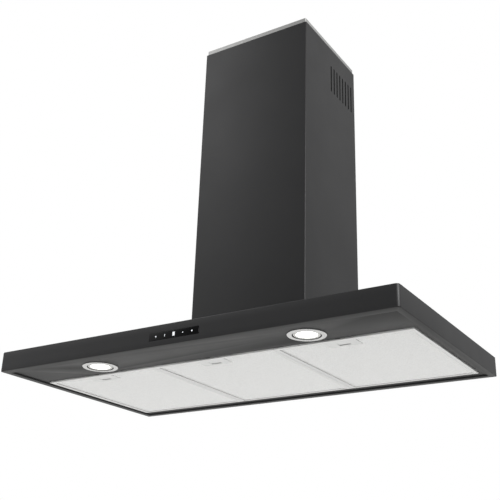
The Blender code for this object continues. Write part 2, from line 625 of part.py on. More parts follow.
def make_motor(steel, zinc, plastic):
    end = WHEEL_DISC_PLACE - MOTOR_AIR
    start = end - MOTOR_LENGTH
    shaft_end = WHEEL_DISC_PLACE + HUB_LENGTH
    shoulder = 0.1 * MOTOR_RADIUS
    profile = [(0, start), (MOTOR_RADIUS - shoulder, start), (MOTOR_RADIUS, start + shoulder),
               (MOTOR_RADIUS, end - shoulder), (MOTOR_RADIUS - shoulder, end), (SHAFT_RADIUS, end),
               (SHAFT_RADIUS, shaft_end), (0, shaft_end)]
    centre = (0, FAN_Y, FAN_Z)
    add("motor", turned(profile, centre, "X", 32), steel, centre, smooth=True)
    face = -SCROLL_WIDTH / 2 - GAP
    ring = SPIDER_RING
    inner, outer = MOTOR_RADIUS + GAP, INLET_RADIUS + 2 * ring
    profile = [(inner, face - SPIDER_THICKNESS), (outer, face - SPIDER_THICKNESS), (outer, face), (inner, face)]
    spider = add("motor_bracket", turned(profile, centre, "X", 36), zinc, centre, smooth=True)
    windows = bmesh.new()
    for k in range(3):
        start_angle = 2 * math.pi * k / 3 + math.radians(12)
        end_angle = start_angle + math.radians(96)
        outline = arc((FAN_Y, FAN_Z), inner + ring, start_angle, end_angle, 10)
        outline += arc((FAN_Y, FAN_Z), outer - 2 * ring, end_angle, start_angle, 10)
        prism(outline, "X", face - 2 * SPIDER_THICKNESS, face + SPIDER_THICKNESS, windows)
    cut(spider, windows, "air_windows")
    x = BOX_HALF - BOX_SHEET - GAP - CAPACITOR_RADIUS
    y = -BOX_DEPTH + BOX_SHEET + 2 * CAPACITOR_RADIUS
    low = BOX_BOTTOM + CAPACITOR_RADIUS
    add("capacitor", rod(CAPACITOR_RADIUS, low, low + CAPACITOR_HEIGHT, (x, y, 0)), plastic, (x, y, low), smooth=True)


def make_collar(steel, plastic, zinc):
    centre = (0, -COLLAR_SETBACK, 0)
    bore = COLLAR_RADIUS - COLLAR_WALL
    top = COLLAR_Z + COLLAR_HEIGHT
    profile = [(bore, COLLAR_Z), (COLLAR_RADIUS + COLLAR_FLANGE, COLLAR_Z),
               (COLLAR_RADIUS + COLLAR_FLANGE, COLLAR_Z + COLLAR_WALL), (COLLAR_RADIUS, COLLAR_Z + COLLAR_WALL),
               (COLLAR_RADIUS, top), (bore, top)]
    collar = add("duct_collar", turned(profile, centre, steps=48), plastic, centre, smooth=True)
    axle_place = (0, -COLLAR_SETBACK, AXLE_Z)
    cut(collar, rod(AXLE_RADIUS + GAP, -COLLAR_DIAMETER, COLLAR_DIAMETER, axle_place, "X", 12), "axle_holes")
    add("damper_axle", rod(AXLE_RADIUS, -COLLAR_RADIUS, COLLAR_RADIUS, axle_place, "X", 12), zinc, axle_place,
        smooth=True)
    for side, name, places in ((1, "rear", (-2.4, 2.4)), (-1, "front", (-1.2, 1.2))):
        hinge = pivot(f"damper_{name}_hinge", axle_place)
        flap = add(f"damper_flap_{name}", flap_plate(side, bore - FLAP_GAP), steel, axle_place, hinge, smooth=True)
        knuckles, arms = bmesh.new(), []
        for place in places:
            middle = place * KNUCKLE_WIDTH
            start, end = middle - KNUCKLE_WIDTH / 2, middle + KNUCKLE_WIDTH / 2
            hole, rim = AXLE_RADIUS + GAP, AXLE_RADIUS + GAP + KNUCKLE_WALL
            turned([(hole, start), (rim, start), (rim, end), (hole, end)], axle_place, "X", 16, knuckles)
            near, far = side * (hole + KNUCKLE_WALL / 2), side * (FLAP_START + FLAP_THICKNESS)
            low, high = sorted((near, far))
            arms.append(((start + GAP, low - COLLAR_SETBACK, AXLE_Z - FLAP_THICKNESS / 3),
                         (end - GAP, high - COLLAR_SETBACK, AXLE_Z + FLAP_THICKNESS / 3)))
        fuse(flap, blocks(arms), "arms")
        fuse(flap, knuckles, "knuckles")


def flap_plate(side, radius):
    """A half disc that stops short of the axle."""
    start = math.asin(FLAP_START / radius)
    outline = arc((0, 0), radius, start, math.pi - start, 20)
    return prism([(x, side * y - COLLAR_SETBACK) for x, y in outline], "Z",
                 AXLE_Z - FLAP_THICKNESS / 2, AXLE_Z + FLAP_THICKNESS / 2)


def make_terminal_box(plastic, brass, zinc):
    front = -BOX_DEPTH + TERMINAL_ROOM
    rear = -COLLAR_SETBACK - COLLAR_RADIUS - COLLAR_FLANGE - TERMINAL_ROOM
    low = BOX_TOP + GAP
    top = low + TERMINAL_HEIGHT
    half = TERMINAL_WIDTH / 2
    wall = TERMINAL_WALL
    box = add("terminal_box", block((-half, front, low), (half, rear, top)), plastic)
    cut(box, block((-half + wall, front + wall, low + wall), (half - wall, rear - wall, top + 1)), "hollow")
    gland_place = (half, (front + rear) / 2, low + TERMINAL_HEIGHT / 2)
    cut(box, rod(GLAND_NECK + GAP, -2 * wall, wall, gland_place, "X", 20), "gland_hole")
    lid = add("terminal_lid", block((-half, front, top + GAP), (half, rear, top + GAP + TERMINAL_LID)), plastic)
    screws = [(side * (half - 6 * wall), (front + rear) / 2) for side in (-1, 1)]
    post = 2 * wall
    fuse(box, blocks([((x - post, y - post, low + wall / 2), (x + post, y + post, top)) for x, y in screws]), "posts")
    for item, label, depth in ((box, "post_holes", BOLT_LENGTH + wall), (lid, "screw_holes", wall)):
        holes = bmesh.new()
        for x, y in screws:
            rod(BOLT_RADIUS + GAP, top - depth, top + 2 * TERMINAL_LID, (x, y, 0), steps=12, into=holes)
        cut(item, holes, label)
    head = top + 2 * GAP + TERMINAL_LID
    for i, (x, y) in enumerate(screws):
        profile = [(0, head + BOLT_HEAD), (BOLT_HEAD_RADIUS * 0.7, head + BOLT_HEAD), (BOLT_HEAD_RADIUS, head),
                   (BOLT_RADIUS, head), (BOLT_RADIUS, head - BOLT_LENGTH), (0, head - BOLT_LENGTH)]
        add(f"lid_screw_{i + 1}", turned(profile, (x, y, 0), steps=12), zinc, (x, y, head), smooth=True)
    strip = 0.3 * TERMINAL_WIDTH
    y = (front + rear) / 2
    depth = (rear - front) / 8
    add("terminal_strip", block((-strip, y - depth, low + wall + GAP), (strip, y + depth, low + TERMINAL_HEIGHT / 2)),
        brass)
    collar, flange = 0.4 * GLAND_REACH, 2 * wall
    profile = [(GLAND_BORE, -flange), (GLAND_NECK, -flange), (GLAND_NECK, GAP), (GLAND_RADIUS, GAP),
               (GLAND_RADIUS, collar), (GLAND_NECK, GLAND_REACH), (GLAND_BORE, GLAND_REACH)]
    add("cable_gland", turned(profile, gland_place, "X", 20), plastic, gland_place, smooth=True)


def channel(half, front, rear, sheet, corner, back):
    """Plan of a folded three-sided duct with a short return behind each side."""
    steps = 3
    centre = front + corner
    outside = [(-half + back, rear), (-half, rear)]
    outside += arc((-half + corner, centre), corner, math.pi, 1.5 * math.pi, steps)
    outside += arc((half - corner, centre), corner, 1.5 * math.pi, 2 * math.pi, steps)
    outside += [(half, rear), (half - back, rear)]
    inner = half - sheet
    inside = [(half - back, rear - sheet), (inner, rear - sheet)]
    inside += arc((half - corner, centre), corner - sheet, 2 * math.pi, 1.5 * math.pi, steps)
    inside += arc((-half + corner, centre), corner - sheet, 1.5 * math.pi, math.pi, steps)
    inside += [(-inner, rear - sheet), (-half + back, rear - sheet)]
    return outside + inside


def make_chimney(steel, zinc):
    half, sheet = CHIMNEY_WIDTH / 2, CHIMNEY_SHEET
    plan = channel(half, -CHIMNEY_DEPTH, 0, sheet, CHIMNEY_CORNER, CHIMNEY_RETURN)
    cover = add("chimney_cover", prism(plan, "Z", COVER_BOTTOM, COVER_TOP), steel, smooth=True)
    high = COVER_TOP - VENT_BELOW_TOP
    vents = []
    for k in range(VENT_COUNT):
        y = -VENT_REAR - k * VENT_PITCH
        vents.append(((-CHIMNEY_WIDTH, y - VENT_WIDTH / 2, high - VENT_HEIGHT),
                      (CHIMNEY_WIDTH, y + VENT_WIDTH / 2, high)))
    cut(cover, blocks(vents), "vents")

    inset = sheet + EXTENSION_INSET
    plan = channel(half - inset, -CHIMNEY_DEPTH + inset, -inset, sheet, CHIMNEY_CORNER, EXTENSION_RETURN)
    home = (0, 0, EXTENSION_TOP)
    slide = pivot("extension_slide", home)
    add("chimney_extension", prism(plan, "Z", EXTENSION_TOP - EXTENSION_LENGTH, EXTENSION_TOP), steel, home, slide,
        smooth=True)

    # The bracket's middle lies on the wall; its jogs pass the returns, and its arms reach the extension.
    arm_x = half - inset - sheet - GAP
    wall_x = half - inset - EXTENSION_RETURN - BRACKET_JOG
    t, jog, arm = BRACKET_SHEET, BRACKET_JOG, BRACKET_JOG + BRACKET_ARM
    right = [(wall_x, 0), (wall_x, -jog), (arm_x, -jog), (arm_x, -arm), (arm_x - t, -arm), (arm_x - t, -jog - t),
             (wall_x - t, -jog - t), (wall_x - t, -t)]
    outline = right + [(-x, y) for x, y in reversed(right)]
    high = COVER_TOP - BRACKET_BELOW_TOP
    add("chimney_bracket", prism(outline, "Z", high - BRACKET_HEIGHT, high), zinc)


def build():
    clear_scene()
    black_steel = finish("black_steel", (0.030, 0.030, 0.031), 0.42, 0.6)
    filter_steel = finish("filter_steel", (0.62, 0.62, 0.62), 0.32, 1.0)
    filter_mesh = finish("filter_mesh", (0.60, 0.60, 0.61), 0.40, 1.0)
    zinc = finish("zinc_steel", (0.50, 0.51, 0.52), 0.45, 1.0)
    chrome = finish("chrome", (0.70, 0.70, 0.70), 0.20, 1.0)
    lens = finish("lamp_lens", (0.90, 0.90, 0.88), 0.30, 0.0)
    alloy = finish("alloy", (0.45, 0.45, 0.46), 0.40, 1.0)
    black_glass = finish("black_glass", (0.008, 0.008, 0.008), 0.06, 0.0)
    black_plastic = finish("black_plastic", (0.020, 0.020, 0.020), 0.50, 0.0)
    grey_plastic = finish("grey_plastic", (0.25, 0.25, 0.26), 0.50, 0.0)
    board = finish("circuit_board", (0.020, 0.120, 0.050), 0.45, 0.0)

    make_canopy(black_steel)
    make_tray(black_steel)
    for i in range(len(FILTER_NAMES)):
        make_filter(i, filter_steel, filter_mesh)
    make_lamp(-1, "left", chrome, lens, alloy)
    make_lamp(1, "right", chrome, lens, alloy)
    make_controls(black_glass, black_plastic, board)
    make_driver(grey_plastic)
    make_motor_box(zinc)
    make_bolts(zinc)
    make_scroll(-1, "left", black_plastic)
    make_scroll(1, "right", black_plastic)
    make_wheel(grey_plastic)
    make_motor(alloy, zinc, grey_plastic)
    make_collar(alloy, black_plastic, zinc)
    make_terminal_box(black_plastic, grey_plastic, zinc)
    make_chimney(black_steel, zinc)


build()
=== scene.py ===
"""A wall chimney range hood: its folded steel casing, grease filters, lamps, controls and blower."""
import math

import bmesh
import bpy
from bpy.props import FloatProperty, FloatVectorProperty, IntProperty, PointerProperty
from mathutils import Matrix, Vector


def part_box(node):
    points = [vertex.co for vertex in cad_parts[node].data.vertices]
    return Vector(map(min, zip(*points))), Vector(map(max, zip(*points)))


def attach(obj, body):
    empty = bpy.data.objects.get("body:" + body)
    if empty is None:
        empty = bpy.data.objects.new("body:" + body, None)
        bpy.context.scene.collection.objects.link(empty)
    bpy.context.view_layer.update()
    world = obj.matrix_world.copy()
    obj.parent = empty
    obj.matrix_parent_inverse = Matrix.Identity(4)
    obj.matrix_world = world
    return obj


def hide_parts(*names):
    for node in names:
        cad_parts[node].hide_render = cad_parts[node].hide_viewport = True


bl_info = {
    "name": "Range Hood",
    "version": (1, 0, 0),
    "blender": (4, 5, 0),
    "location": "View3D > Sidebar > Range Hood",
    "description": "Builds a wall chimney range hood and the studio it hangs in",
    "category": "Add Mesh",
}

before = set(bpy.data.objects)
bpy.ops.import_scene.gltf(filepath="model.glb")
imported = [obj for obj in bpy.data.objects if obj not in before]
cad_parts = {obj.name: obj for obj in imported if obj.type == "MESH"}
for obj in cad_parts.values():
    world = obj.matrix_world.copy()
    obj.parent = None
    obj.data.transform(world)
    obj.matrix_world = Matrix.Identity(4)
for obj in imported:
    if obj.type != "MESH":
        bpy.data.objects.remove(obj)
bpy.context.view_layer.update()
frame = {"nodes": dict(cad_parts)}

FILTERS = ("left", "centre", "right")
SIDES = ("left", "right")

# Shapes that the pieces share, in metres and degrees.
SHARP_ANGLE = 31                    # faces that meet at more than this keep a crisp edge
FLAT = 0.99                         # how nearly a face's normal follows a direction
GLASS_ROOM = 0.0004                 # casing to the touch glass, all round
AIR_FLANGE = 0.0132                 # canopy top left inside the motor box's walls
AIR_REAR = -0.004                   # rear edge of the opening into the motor box
LATCH_BAY_HALF = 0.0313             # half the width of the opening for a latch in its mesh
LATCH_BAY_BEHIND = 0.0115           # that opening's edge behind the latch slide
LIT_RADIUS = 0.0195                 # lit middle of a lamp's lens
NECK_RADIUS = 0.0295                # bezel's neck through the underside panel
MARK_SPACING = 0.0207
MARK_RAISE = 0.0001
VENTS = 8
VENT_PITCH = 0.0155
VENT_FIRST = -0.021                 # middle of the rearmost vent
VENT_TOP, VENT_BOTTOM = 0.050, 0.123  # below the chimney cover's top edge
FLOOR_HEIGHT = -2.8


def linear(code):
    """Linear red, green and blue of an sRGB hex colour."""
    parts = [int(code[i:i + 2], 16) / 255 for i in (1, 3, 5)]
    return tuple(c / 12.92 if c <= 0.04045 else ((c + 0.055) / 1.055) ** 2.4 for c in parts)


# Settings.

def length(name, description, default):
    """A length setting in metres."""
    return FloatProperty(name=name, description=description, default=default, min=0.0, unit="LENGTH",
                         precision=5)


def colour(name, description, code):
    """A colour setting, its default given as sRGB hex."""
    return FloatVectorProperty(name=name, description=description, default=linear(code), subtype="COLOR",
                               min=0.0, max=1.0)


class HoodSizes(bpy.types.PropertyGroup):
    """Sizes of the shapes that this script adds to the hood's parts"""
    corner: length("Canopy corner", "Radius of the canopy's upright front corners", 0.0075)
    fold: length("Sheet fold", "Outside radius of the folded steel edges", 0.0016)
    sheet: length("Sheet thickness", "Thickness of the canopy's and chimney's steel", 0.0012)
    rim_front: length("Front rim", "Width of the rim under the canopy's front", 0.027)
    rim_side: length("Side rim", "Width of the rim under the canopy's sides and rear", 0.020)
    hem: length("Rim hem", "Height of the lip turned up round the filter opening", 0.0027)
    chimney_corner: length("Chimney corner", "Radius of the chimney's upright corners", 0.0028)
    bare_hem: length("Bare hem", "Height of the uncoated hem on the extension's top edge", 0.0102)
    border: length("Filter border", "Width of a filter's frame", 0.008)
    mesh_long: length("Mesh opening length", "Long diagonal of the expanded mesh's diamonds", 0.0070)
    mesh_short: length("Mesh opening width", "Short diagonal of the expanded mesh's diamonds", 0.0044)
    strand: length("Mesh strand", "Half the width of an expanded mesh strand", 0.00052)
    vent: length("Vent width", "Width of the chimney's vent slots", 0.005)
    strand_depth: length("Mesh relief", "Depth of the diamonds below their strands", 0.0007)
    softening: length("Edge softening", "Rounding of small parts' edges", 0.0003)
    blades: IntProperty(name="Fan blades", description="Number of blades round the fan wheel",
                        default=40, min=8)


class HoodFinishes(bpy.types.PropertyGroup):
    """Colours of the hood's finishes and the strength of its lamps"""
    coat: colour("Coated steel", "Black satin coat on the canopy and chimney", "#202021")
    mesh: colour("Filter mesh", "Bare expanded aluminium", "#F6F6F6")
    frame: colour("Filter frame", "Brushed stainless channel round the filters", "#E2E2E2")
    bezel: colour("Lamp bezel", "Satin chrome plate round the lamps", "#D0D0D0")
    light: colour("Lamp light", "Colour of the lit lamps", "#FFFEFA")
    glow: FloatProperty(name="Lamp glow", description="Strength of the lit lamps", default=3.2, min=0.0)
    marks: colour("Control marks", "Lit marks on the control glass", "#E6E9EE")


# Shapes.

def facing(bm, direction):
    """The faces that point a way."""
    bm.normal_update()
    return [f for f in bm.faces if f.normal.dot(Vector(direction)) > FLAT]


def corners_of(items):
    """The vertices among an operator's results."""
    return [item for item in items if isinstance(item, bmesh.types.BMVert)]


def box(bm, low, high):
    """A box between two corners; returns its vertices."""
    low, high = Vector(low), Vector(high)
    place = Matrix.LocRotScale((low + high) / 2, None, high - low)
    return bmesh.ops.create_cube(bm, size=1, matrix=place)["verts"]


def round_edges(bm, edges, radius, segments):
    """Round edges over to a radius."""
    bmesh.ops.bevel(bm, geom=edges, offset=radius, offset_type="OFFSET", segments=segments, profile=0.5,
                    affect="EDGES", material=-1, clamp_overlap=True)


def folds(bm, angle=50):
    """Edges where two faces meet at more than an angle in degrees."""
    return [e for e in bm.edges if len(e.link_faces) == 2 and e.calc_face_angle(0) > math.radians(angle)]


def pierce(bm, faces, holes):
    """Open rectangular holes, given by their opposite corners, in flat faces."""
    for low, high in holes:
        for axis in range(3):
            if high[axis] - low[axis] < 1e-6:
                continue
            across = Vector((0, 0, 0))
            across[axis] = 1
            for edge in (low, high):
                around = set(faces)
                around.update(e for f in faces for e in f.edges)
                around.update(v for f in faces for v in f.verts)
                cut = bmesh.ops.bisect_plane(bm, geom=list(around), dist=1e-7, plane_co=edge, plane_no=across)
                faces = [item for item in cut["geom"] if isinstance(item, bmesh.types.BMFace)]
    gone = []
    for face in faces:
        middle = face.calc_center_median()
        for low, high in holes:
            if all(low[i] - 1e-5 < middle[i] < high[i] + 1e-5 for i in range(3)):
                gone.append(face)
                break
    bmesh.ops.delete(bm, geom=gone, context="FACES")
    return [f for f in faces if f.is_valid]


def turned(bm, profile, centre, axis="Z", steps=64):
    """Spin a chain of (radius, height) points a full turn about an axis through centre."""
    last = bm.verts.new((profile[0][0], 0, profile[0][1]))
    chain = [last]
    for radius, height in profile[1:]:
        vert = bm.verts.new((radius, 0, height))
        chain.append(bm.edges.new((last, vert)))
        chain.append(vert)
        last = vert
    bmesh.ops.spin(bm, geom=chain, cent=(0, 0, 0), axis=(0, 0, 1), angle=2 * math.pi, steps=steps,
                   use_merge=True, use_duplicate=False)
    verts = {v for v in chain if isinstance(v, bmesh.types.BMVert)}
    verts.update(v for e in chain if isinstance(e, bmesh.types.BMEdge) for f in e.link_faces for v in f.verts)
    grown = set(verts)
    while grown:
        grown = {e.other_vert(v) for v in grown for e in v.link_edges} - verts
        verts |= grown
    lean = {"X": Matrix.Rotation(math.pi / 2, 4, "Y"), "Z": Matrix()}[axis]
    verts = list(verts)
    bmesh.ops.transform(bm, matrix=Matrix.Translation(centre) @ lean, verts=verts)
    bmesh.ops.remove_doubles(bm, verts=verts, dist=1e-7)


def piece(name, bm, body, slot, nodes, *finishes, turn_out=True):
    """Finish a piece: normals out, smooth but for its folds, riding on its body in place of its nodes."""
    if turn_out:
        bmesh.ops.recalc_face_normals(bm, faces=bm.faces)
    mesh = bpy.data.meshes.new(name)
    bm.to_mesh(mesh)
    bm.free()
    for finish_name in finishes:
        mesh.materials.append(finish(finish_name))
    mesh.shade_smooth()
    mesh.set_sharp_from_angle(angle=math.radians(SHARP_ANGLE))
    item = bpy.data.objects.new(name, mesh)
    bpy.context.scene.collection.objects.link(item)
    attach(item, body)
    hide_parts(*nodes)
    return item


def softened(name, node, body, slot, finish_name, radius, angle=40):
    """A part's own shape with its edges rounded over."""
    bm = bmesh.new()
    bm.from_mesh(frame["nodes"][node].data)
    bmesh.ops.remove_doubles(bm, verts=bm.verts, dist=1e-6)
    bmesh.ops.dissolve_limit(bm, angle_limit=math.radians(0.5), verts=bm.verts, edges=bm.edges)
    bm.normal_update()
    round_edges(bm, folds(bm, angle), radius, 2)
    return piece(name, bm, body, slot, [node], finish_name, turn_out=False)


# Finishes.

def add(tree, kind, values=None, links=None, **settings):
    """Add a node with its properties, its inputs' values and what feeds them."""
    item = tree.nodes.new(kind)
    for key, value in settings.items():
        setattr(item, key, value)
    for key, value in (values or {}).items():
        item.inputs[key].default_value = value
    for key, source in (links or {}).items():
        tree.links.new(source, item.inputs[key])
    return item


def start(name, base, roughness, metallic=0.0, **inputs):
    """A material, its tree, its shader and the place on the object in metres."""
    material = bpy.data.materials.new(name)
    material.use_nodes = True
    tree = material.node_tree
    shader = tree.nodes["Principled BSDF"]
    shader.inputs["Base Color"].default_value = (*base, 1)
    shader.inputs["Roughness"].default_value = roughness
    shader.inputs["Metallic"].default_value = metallic
    for key, value in inputs.items():
        shader.inputs[key.replace("_", " ")].default_value = value
    return material, tree, shader, add(tree, "ShaderNodeTexCoord").outputs["Object"]


def noise(tree, place, grain, detail=2.0, stretch=None):
    """Noise whose features are about grain metres wide, drawn longer along an axis by stretch."""
    if stretch:
        place = add(tree, "ShaderNodeMapping", {"Scale": stretch}, {"Vector": place}).outputs["Vector"]
    values = {"Scale": 1 / grain, "Detail": detail}
    return add(tree, "ShaderNodeTexNoise", values, {"Vector": place}).outputs["Fac"]


def spread(tree, source, low, high, start_at=0.3, end_at=0.7):
    """A texture's value spread between two others."""
    values = {"From Min": start_at, "From Max": end_at, "To Min": low, "To Max": high}
    return add(tree, "ShaderNodeMapRange", values, {"Value": source}).outputs["Result"]


def blend(tree, factor, first, second):
    """A colour mixed from two by a factor."""
    item = add(tree, "ShaderNodeMix", data_type="RGBA")
    colours = [socket for socket in item.inputs if socket.type == "RGBA"]
    colours[0].default_value = (*first, 1)
    colours[1].default_value = (*second, 1)
    tree.links.new(factor, item.inputs["Factor"])
    return [socket for socket in item.outputs if socket.type == "RGBA"][0]


def relief(tree, shader, height, depth, strength=1.0):
    """Bump a shader's surface by a texture, depth metres from its lows to its highs."""
    bump = add(tree, "ShaderNodeBump", {"Strength": strength, "Distance": depth}, {"Height": height})
    tree.links.new(bump.outputs["Normal"], shader.inputs["Normal"])


def coated_steel(settings):
    """Cold-rolled steel, folded and then powder coated satin black.

    The cured powder leaves a low orange peel about 1.5 mm across and a gloss that drifts over a hand's width.
    """
    base = tuple(settings.coat)
    material, tree, shader, place = start("Powder-coated steel", base, 0.45, Specular_IOR_Level=0.21)
    peel = noise(tree, place, 0.0016, 3)
    drift = noise(tree, place, 0.110, 2)
    tree.links.new(spread(tree, drift, 0.43, 0.48), shader.inputs["Roughness"])
    shade = noise(tree, place, 0.060, 4)
    darker = tuple(c * 0.90 for c in base)
    lighter = tuple(c * 1.10 for c in base)
    tree.links.new(blend(tree, shade, darker, lighter), shader.inputs["Base Color"])
    relief(tree, shader, peel, 0.00003, 0.35)
    return material


def bare_steel(settings):
    """Zinc-coated sheet left bare along the extension's hem, dull, with a short grain along the edge."""
    material, tree, shader, place = start("Bare rolled steel", linear("#8E8E8D"), 0.52, 1.0)
    grain = noise(tree, place, 0.0006, 3, (0.04, 0.04, 1))
    tree.links.new(spread(tree, grain, 0.46, 0.58), shader.inputs["Roughness"])
    relief(tree, shader, grain, 0.00002, 0.3)
    return material


def zinc_sheet(settings):
    """Hot-dip galvanised sheet: the zinc freezes into spangles 9 mm across, each lighter or duller."""
    material, tree, shader, place = start("Galvanised steel", linear("#AEB2B5"), 0.44, 1.0)
    crystals = add(tree, "ShaderNodeTexVoronoi", {"Scale": 1 / 0.009, "Detail": 1.0}, {"Vector": place})
    tone = add(tree, "ShaderNodeSeparateColor", None, {"Color": crystals.outputs["Color"]}).outputs["Red"]
    tree.links.new(blend(tree, tone, linear("#9DA1A4"), linear("#C1C4C6")), shader.inputs["Base Color"])
    tree.links.new(spread(tree, tone, 0.36, 0.54, 0, 1), shader.inputs["Roughness"])
    relief(tree, shader, noise(tree, place, 0.0012, 3), 0.00003, 0.4)
    return material


def plated_fastener(settings):
    """Zinc-plated screws and pins, turned and then barrel plated: bright with a fine dull frosting."""
    material, tree, shader, place = start("Zinc-plated steel", linear("#B9BBBD"), 0.33, 1.0)
    tree.links.new(spread(tree, noise(tree, place, 0.0009, 3), 0.26, 0.46), shader.inputs["Roughness"])
    return material


def brushed_stainless(settings):
    """Stainless strip, brushed along its length and then rolled into a channel: a fine soft grain."""
    base = tuple(settings.frame)
    material, tree, shader, place = start("Brushed stainless channel", base, 0.42, 0.85)
    grain = noise(tree, place, 0.0007, 3, (0.05, 1, 1))
    tree.links.new(spread(tree, grain, 0.36, 0.52), shader.inputs["Roughness"])
    duller = tuple(c * 0.93 for c in base)
    tree.links.new(blend(tree, grain, duller, base), shader.inputs["Base Color"])
    relief(tree, shader, grain, 0.00002, 0.25)
    return material


def expanded_aluminium(settings):
    """Aluminium foil slit and stretched into diamonds: bright cut strands that tilt the light differently,
    their glints painted into the colour as lighter and duller patches.
    """
    base = tuple(settings.mesh)
    material, tree, shader, place = start("Expanded aluminium", base, 0.45, 0.70)
    glint = noise(tree, place, 0.0030, 2)
    # Painted glint: the colour runs from 0.90 of the mesh's up to its full brightness with the glint noise,
    # which also drives the roughness.
    duller = tuple(c * 0.90 for c in base)
    tone = spread(tree, glint, 0, 1, 0.35, 0.65)
    tree.links.new(blend(tree, tone, duller, base), shader.inputs["Base Color"])
    tree.links.new(spread(tree, glint, 0.38, 0.55), shader.inputs["Roughness"])
    relief(tree, shader, noise(tree, place, 0.0009, 2), 0.00008, 0.4)
    return material


def shaded_inner_mesh(settings):
    """The layers behind the outer mesh: finer crossed strands seen through the diamonds, with painted shade
    making them darker than the outer strands.
    """
    # Painted shade: the layers behind take 0.80 of the mesh's colour because they lie in the outer mesh's
    # shadow.
    base = tuple(c * 0.80 for c in settings.mesh)
    material, tree, shader, place = start("Stacked aluminium layers", base, 0.55, 0.60)
    weave = add(tree, "ShaderNodeTexVoronoi", {"Scale": 1 / 0.0022}, {"Vector": place}).outputs["Distance"]
    # Painted shade deepens to 0.72 of that between the crossed strands.
    darker = tuple(c * 0.72 for c in base)
    tone = spread(tree, weave, 0, 1, 0.1, 0.6)
    tree.links.new(blend(tree, tone, base, darker), shader.inputs["Base Color"])
    relief(tree, shader, weave, 0.0003, 0.6)
    return material


def satin_chrome(settings):
    """Pressed steel bezel, satin chrome plated: bright, its polish a little uneven."""
    material, tree, shader, place = start("Satin chrome", tuple(settings.bezel), 0.24, 1.0)
    tree.links.new(spread(tree, noise(tree, place, 0.0012, 3), 0.19, 0.31), shader.inputs["Roughness"])
    return material


def cast_aluminium(settings):
    """Die-cast aluminium: matt grey skin with a fine sandy grain."""
    material, tree, shader, place = start("Die-cast aluminium", linear("#A9ABAD"), 0.48, 1.0)
    sand = noise(tree, place, 0.0008, 3)
    tree.links.new(spread(tree, sand, 0.40, 0.60), shader.inputs["Roughness"])
    relief(tree, shader, sand, 0.00008, 0.35)
    return material


def rolled_aluminium(settings):
    """Thin rolled aluminium sheet: bright, with faint lines along the rolling."""
    material, tree, shader, place = start("Rolled aluminium sheet", linear("#C9CBCC"), 0.34, 1.0)
    lines = noise(tree, place, 0.0008, 3, (0.04, 1, 1))
    tree.links.new(spread(tree, lines, 0.26, 0.44), shader.inputs["Roughness"])
    relief(tree, shader, lines, 0.00002, 0.25)
    return material


def moulded(name, code, roughness, texture):
    """Injection-moulded plastic with the fine spark-eroded texture of its tool."""
    base = linear(code)
    material, tree, shader, place = start(name, base, roughness, Specular_IOR_Level=0.45)
    spark = noise(tree, place, texture, 3)
    tree.links.new(spread(tree, spark, roughness - 0.07, roughness + 0.08), shader.inputs["Roughness"])
    relief(tree, shader, spark, 0.00006, 0.4)
    return material


def black_abs(settings):
    """Injection-moulded black ABS: plain and matt."""
    return moulded("Moulded black ABS", "#1A1A1B", 0.50, 0.0009)


def grey_nylon(settings):
    """Grey glass-filled nylon, moulded: dull, and a little mottled by the fibres."""
    return moulded("Glass-filled grey nylon", "#8B8D8F", 0.52, 0.0011)


def control_glass_black(settings):
    """Toughened glass printed black on its back: deep and glossy, with very slight roller wave."""
    material, tree, shader, place = start("Black-backed glass", linear("#060607"), 0.07,
                                          Specular_IOR_Level=0.12)
    relief(tree, shader, noise(tree, place, 0.030, 1), 0.00002, 0.2)
    tree.links.new(spread(tree, noise(tree, place, 0.012, 3), 0.05, 0.11), shader.inputs["Roughness"])
    return material


def lit_mark(settings):
    """Clear window in the glass's print with a white diode behind it: a small even glow."""
    base = tuple(settings.marks)
    material, _, shader, _ = start("Lit control mark", base, 0.4, Emission_Strength=0.35)
    shader.inputs["Emission Color"].default_value = (*base, 1)
    return material


def opal_lens(settings):
    """Moulded opal polycarbonate over a bright diode: the scatter in it lights the whole middle evenly."""
    light = tuple(settings.light)
    material, tree, shader, place = start("Lit opal lens", linear("#F4F4F0"), 0.30,
                                          Emission_Strength=settings.glow)
    shader.inputs["Emission Color"].default_value = (*light, 1)
    relief(tree, shader, noise(tree, place, 0.0015, 2), 0.00005, 0.2)
    return material


def frosted_rim(settings):
    """The lens's ground rim, outside the diode's beam: frosted, lit only from within the plastic."""
    light = tuple(settings.light)
    material, tree, shader, place = start("Frosted lens rim", linear("#BEBEBC"), 0.42, Emission_Strength=0.10)
    shader.inputs["Emission Color"].default_value = (*light, 1)
    relief(tree, shader, noise(tree, place, 0.0008, 3), 0.0001, 0.5)
    return material


def solder_mask(settings):
    """Printed circuit board: green solder mask over copper tracks that show as slightly raised bands."""
    material, tree, shader, place = start("Solder mask", linear("#1D4A2C"), 0.36)
    values = {"Scale": 90.0, "Distortion": 3.0}  # bands 3.5 mm apart, wavering
    tracks = add(tree, "ShaderNodeTexWave", values, {"Vector": place}).outputs["Fac"]
    tone = spread(tree, tracks, 0, 1, 0.45, 0.55)
    tree.links.new(blend(tree, tone, linear("#173C24"), linear("#2B6A3E")), shader.inputs["Base Color"])
    relief(tree, shader, tracks, 0.00005, 0.3)
    return material


FINISHES = {
    "coated_steel": coated_steel, "bare_steel": bare_steel, "zinc_sheet": zinc_sheet,
    "plated_fastener": plated_fastener, "brushed_stainless": brushed_stainless,
    "expanded_aluminium": expanded_aluminium, "shaded_inner_mesh": shaded_inner_mesh, "satin_chrome": satin_chrome,
    "cast_aluminium": cast_aluminium, "rolled_aluminium": rolled_aluminium, "black_abs": black_abs,
    "grey_nylon": grey_nylon, "control_glass_black": control_glass_black, "lit_mark": lit_mark,
    "opal_lens": opal_lens, "frosted_rim": frosted_rim, "solder_mask": solder_mask,
}
made_finishes = {}


def finish(name):
    """A named finish, made once."""
    if name not in made_finishes:
        made_finishes[name] = FINISHES[name](bpy.context.scene.hood_finishes)
    return made_finishes[name]


# Pieces.

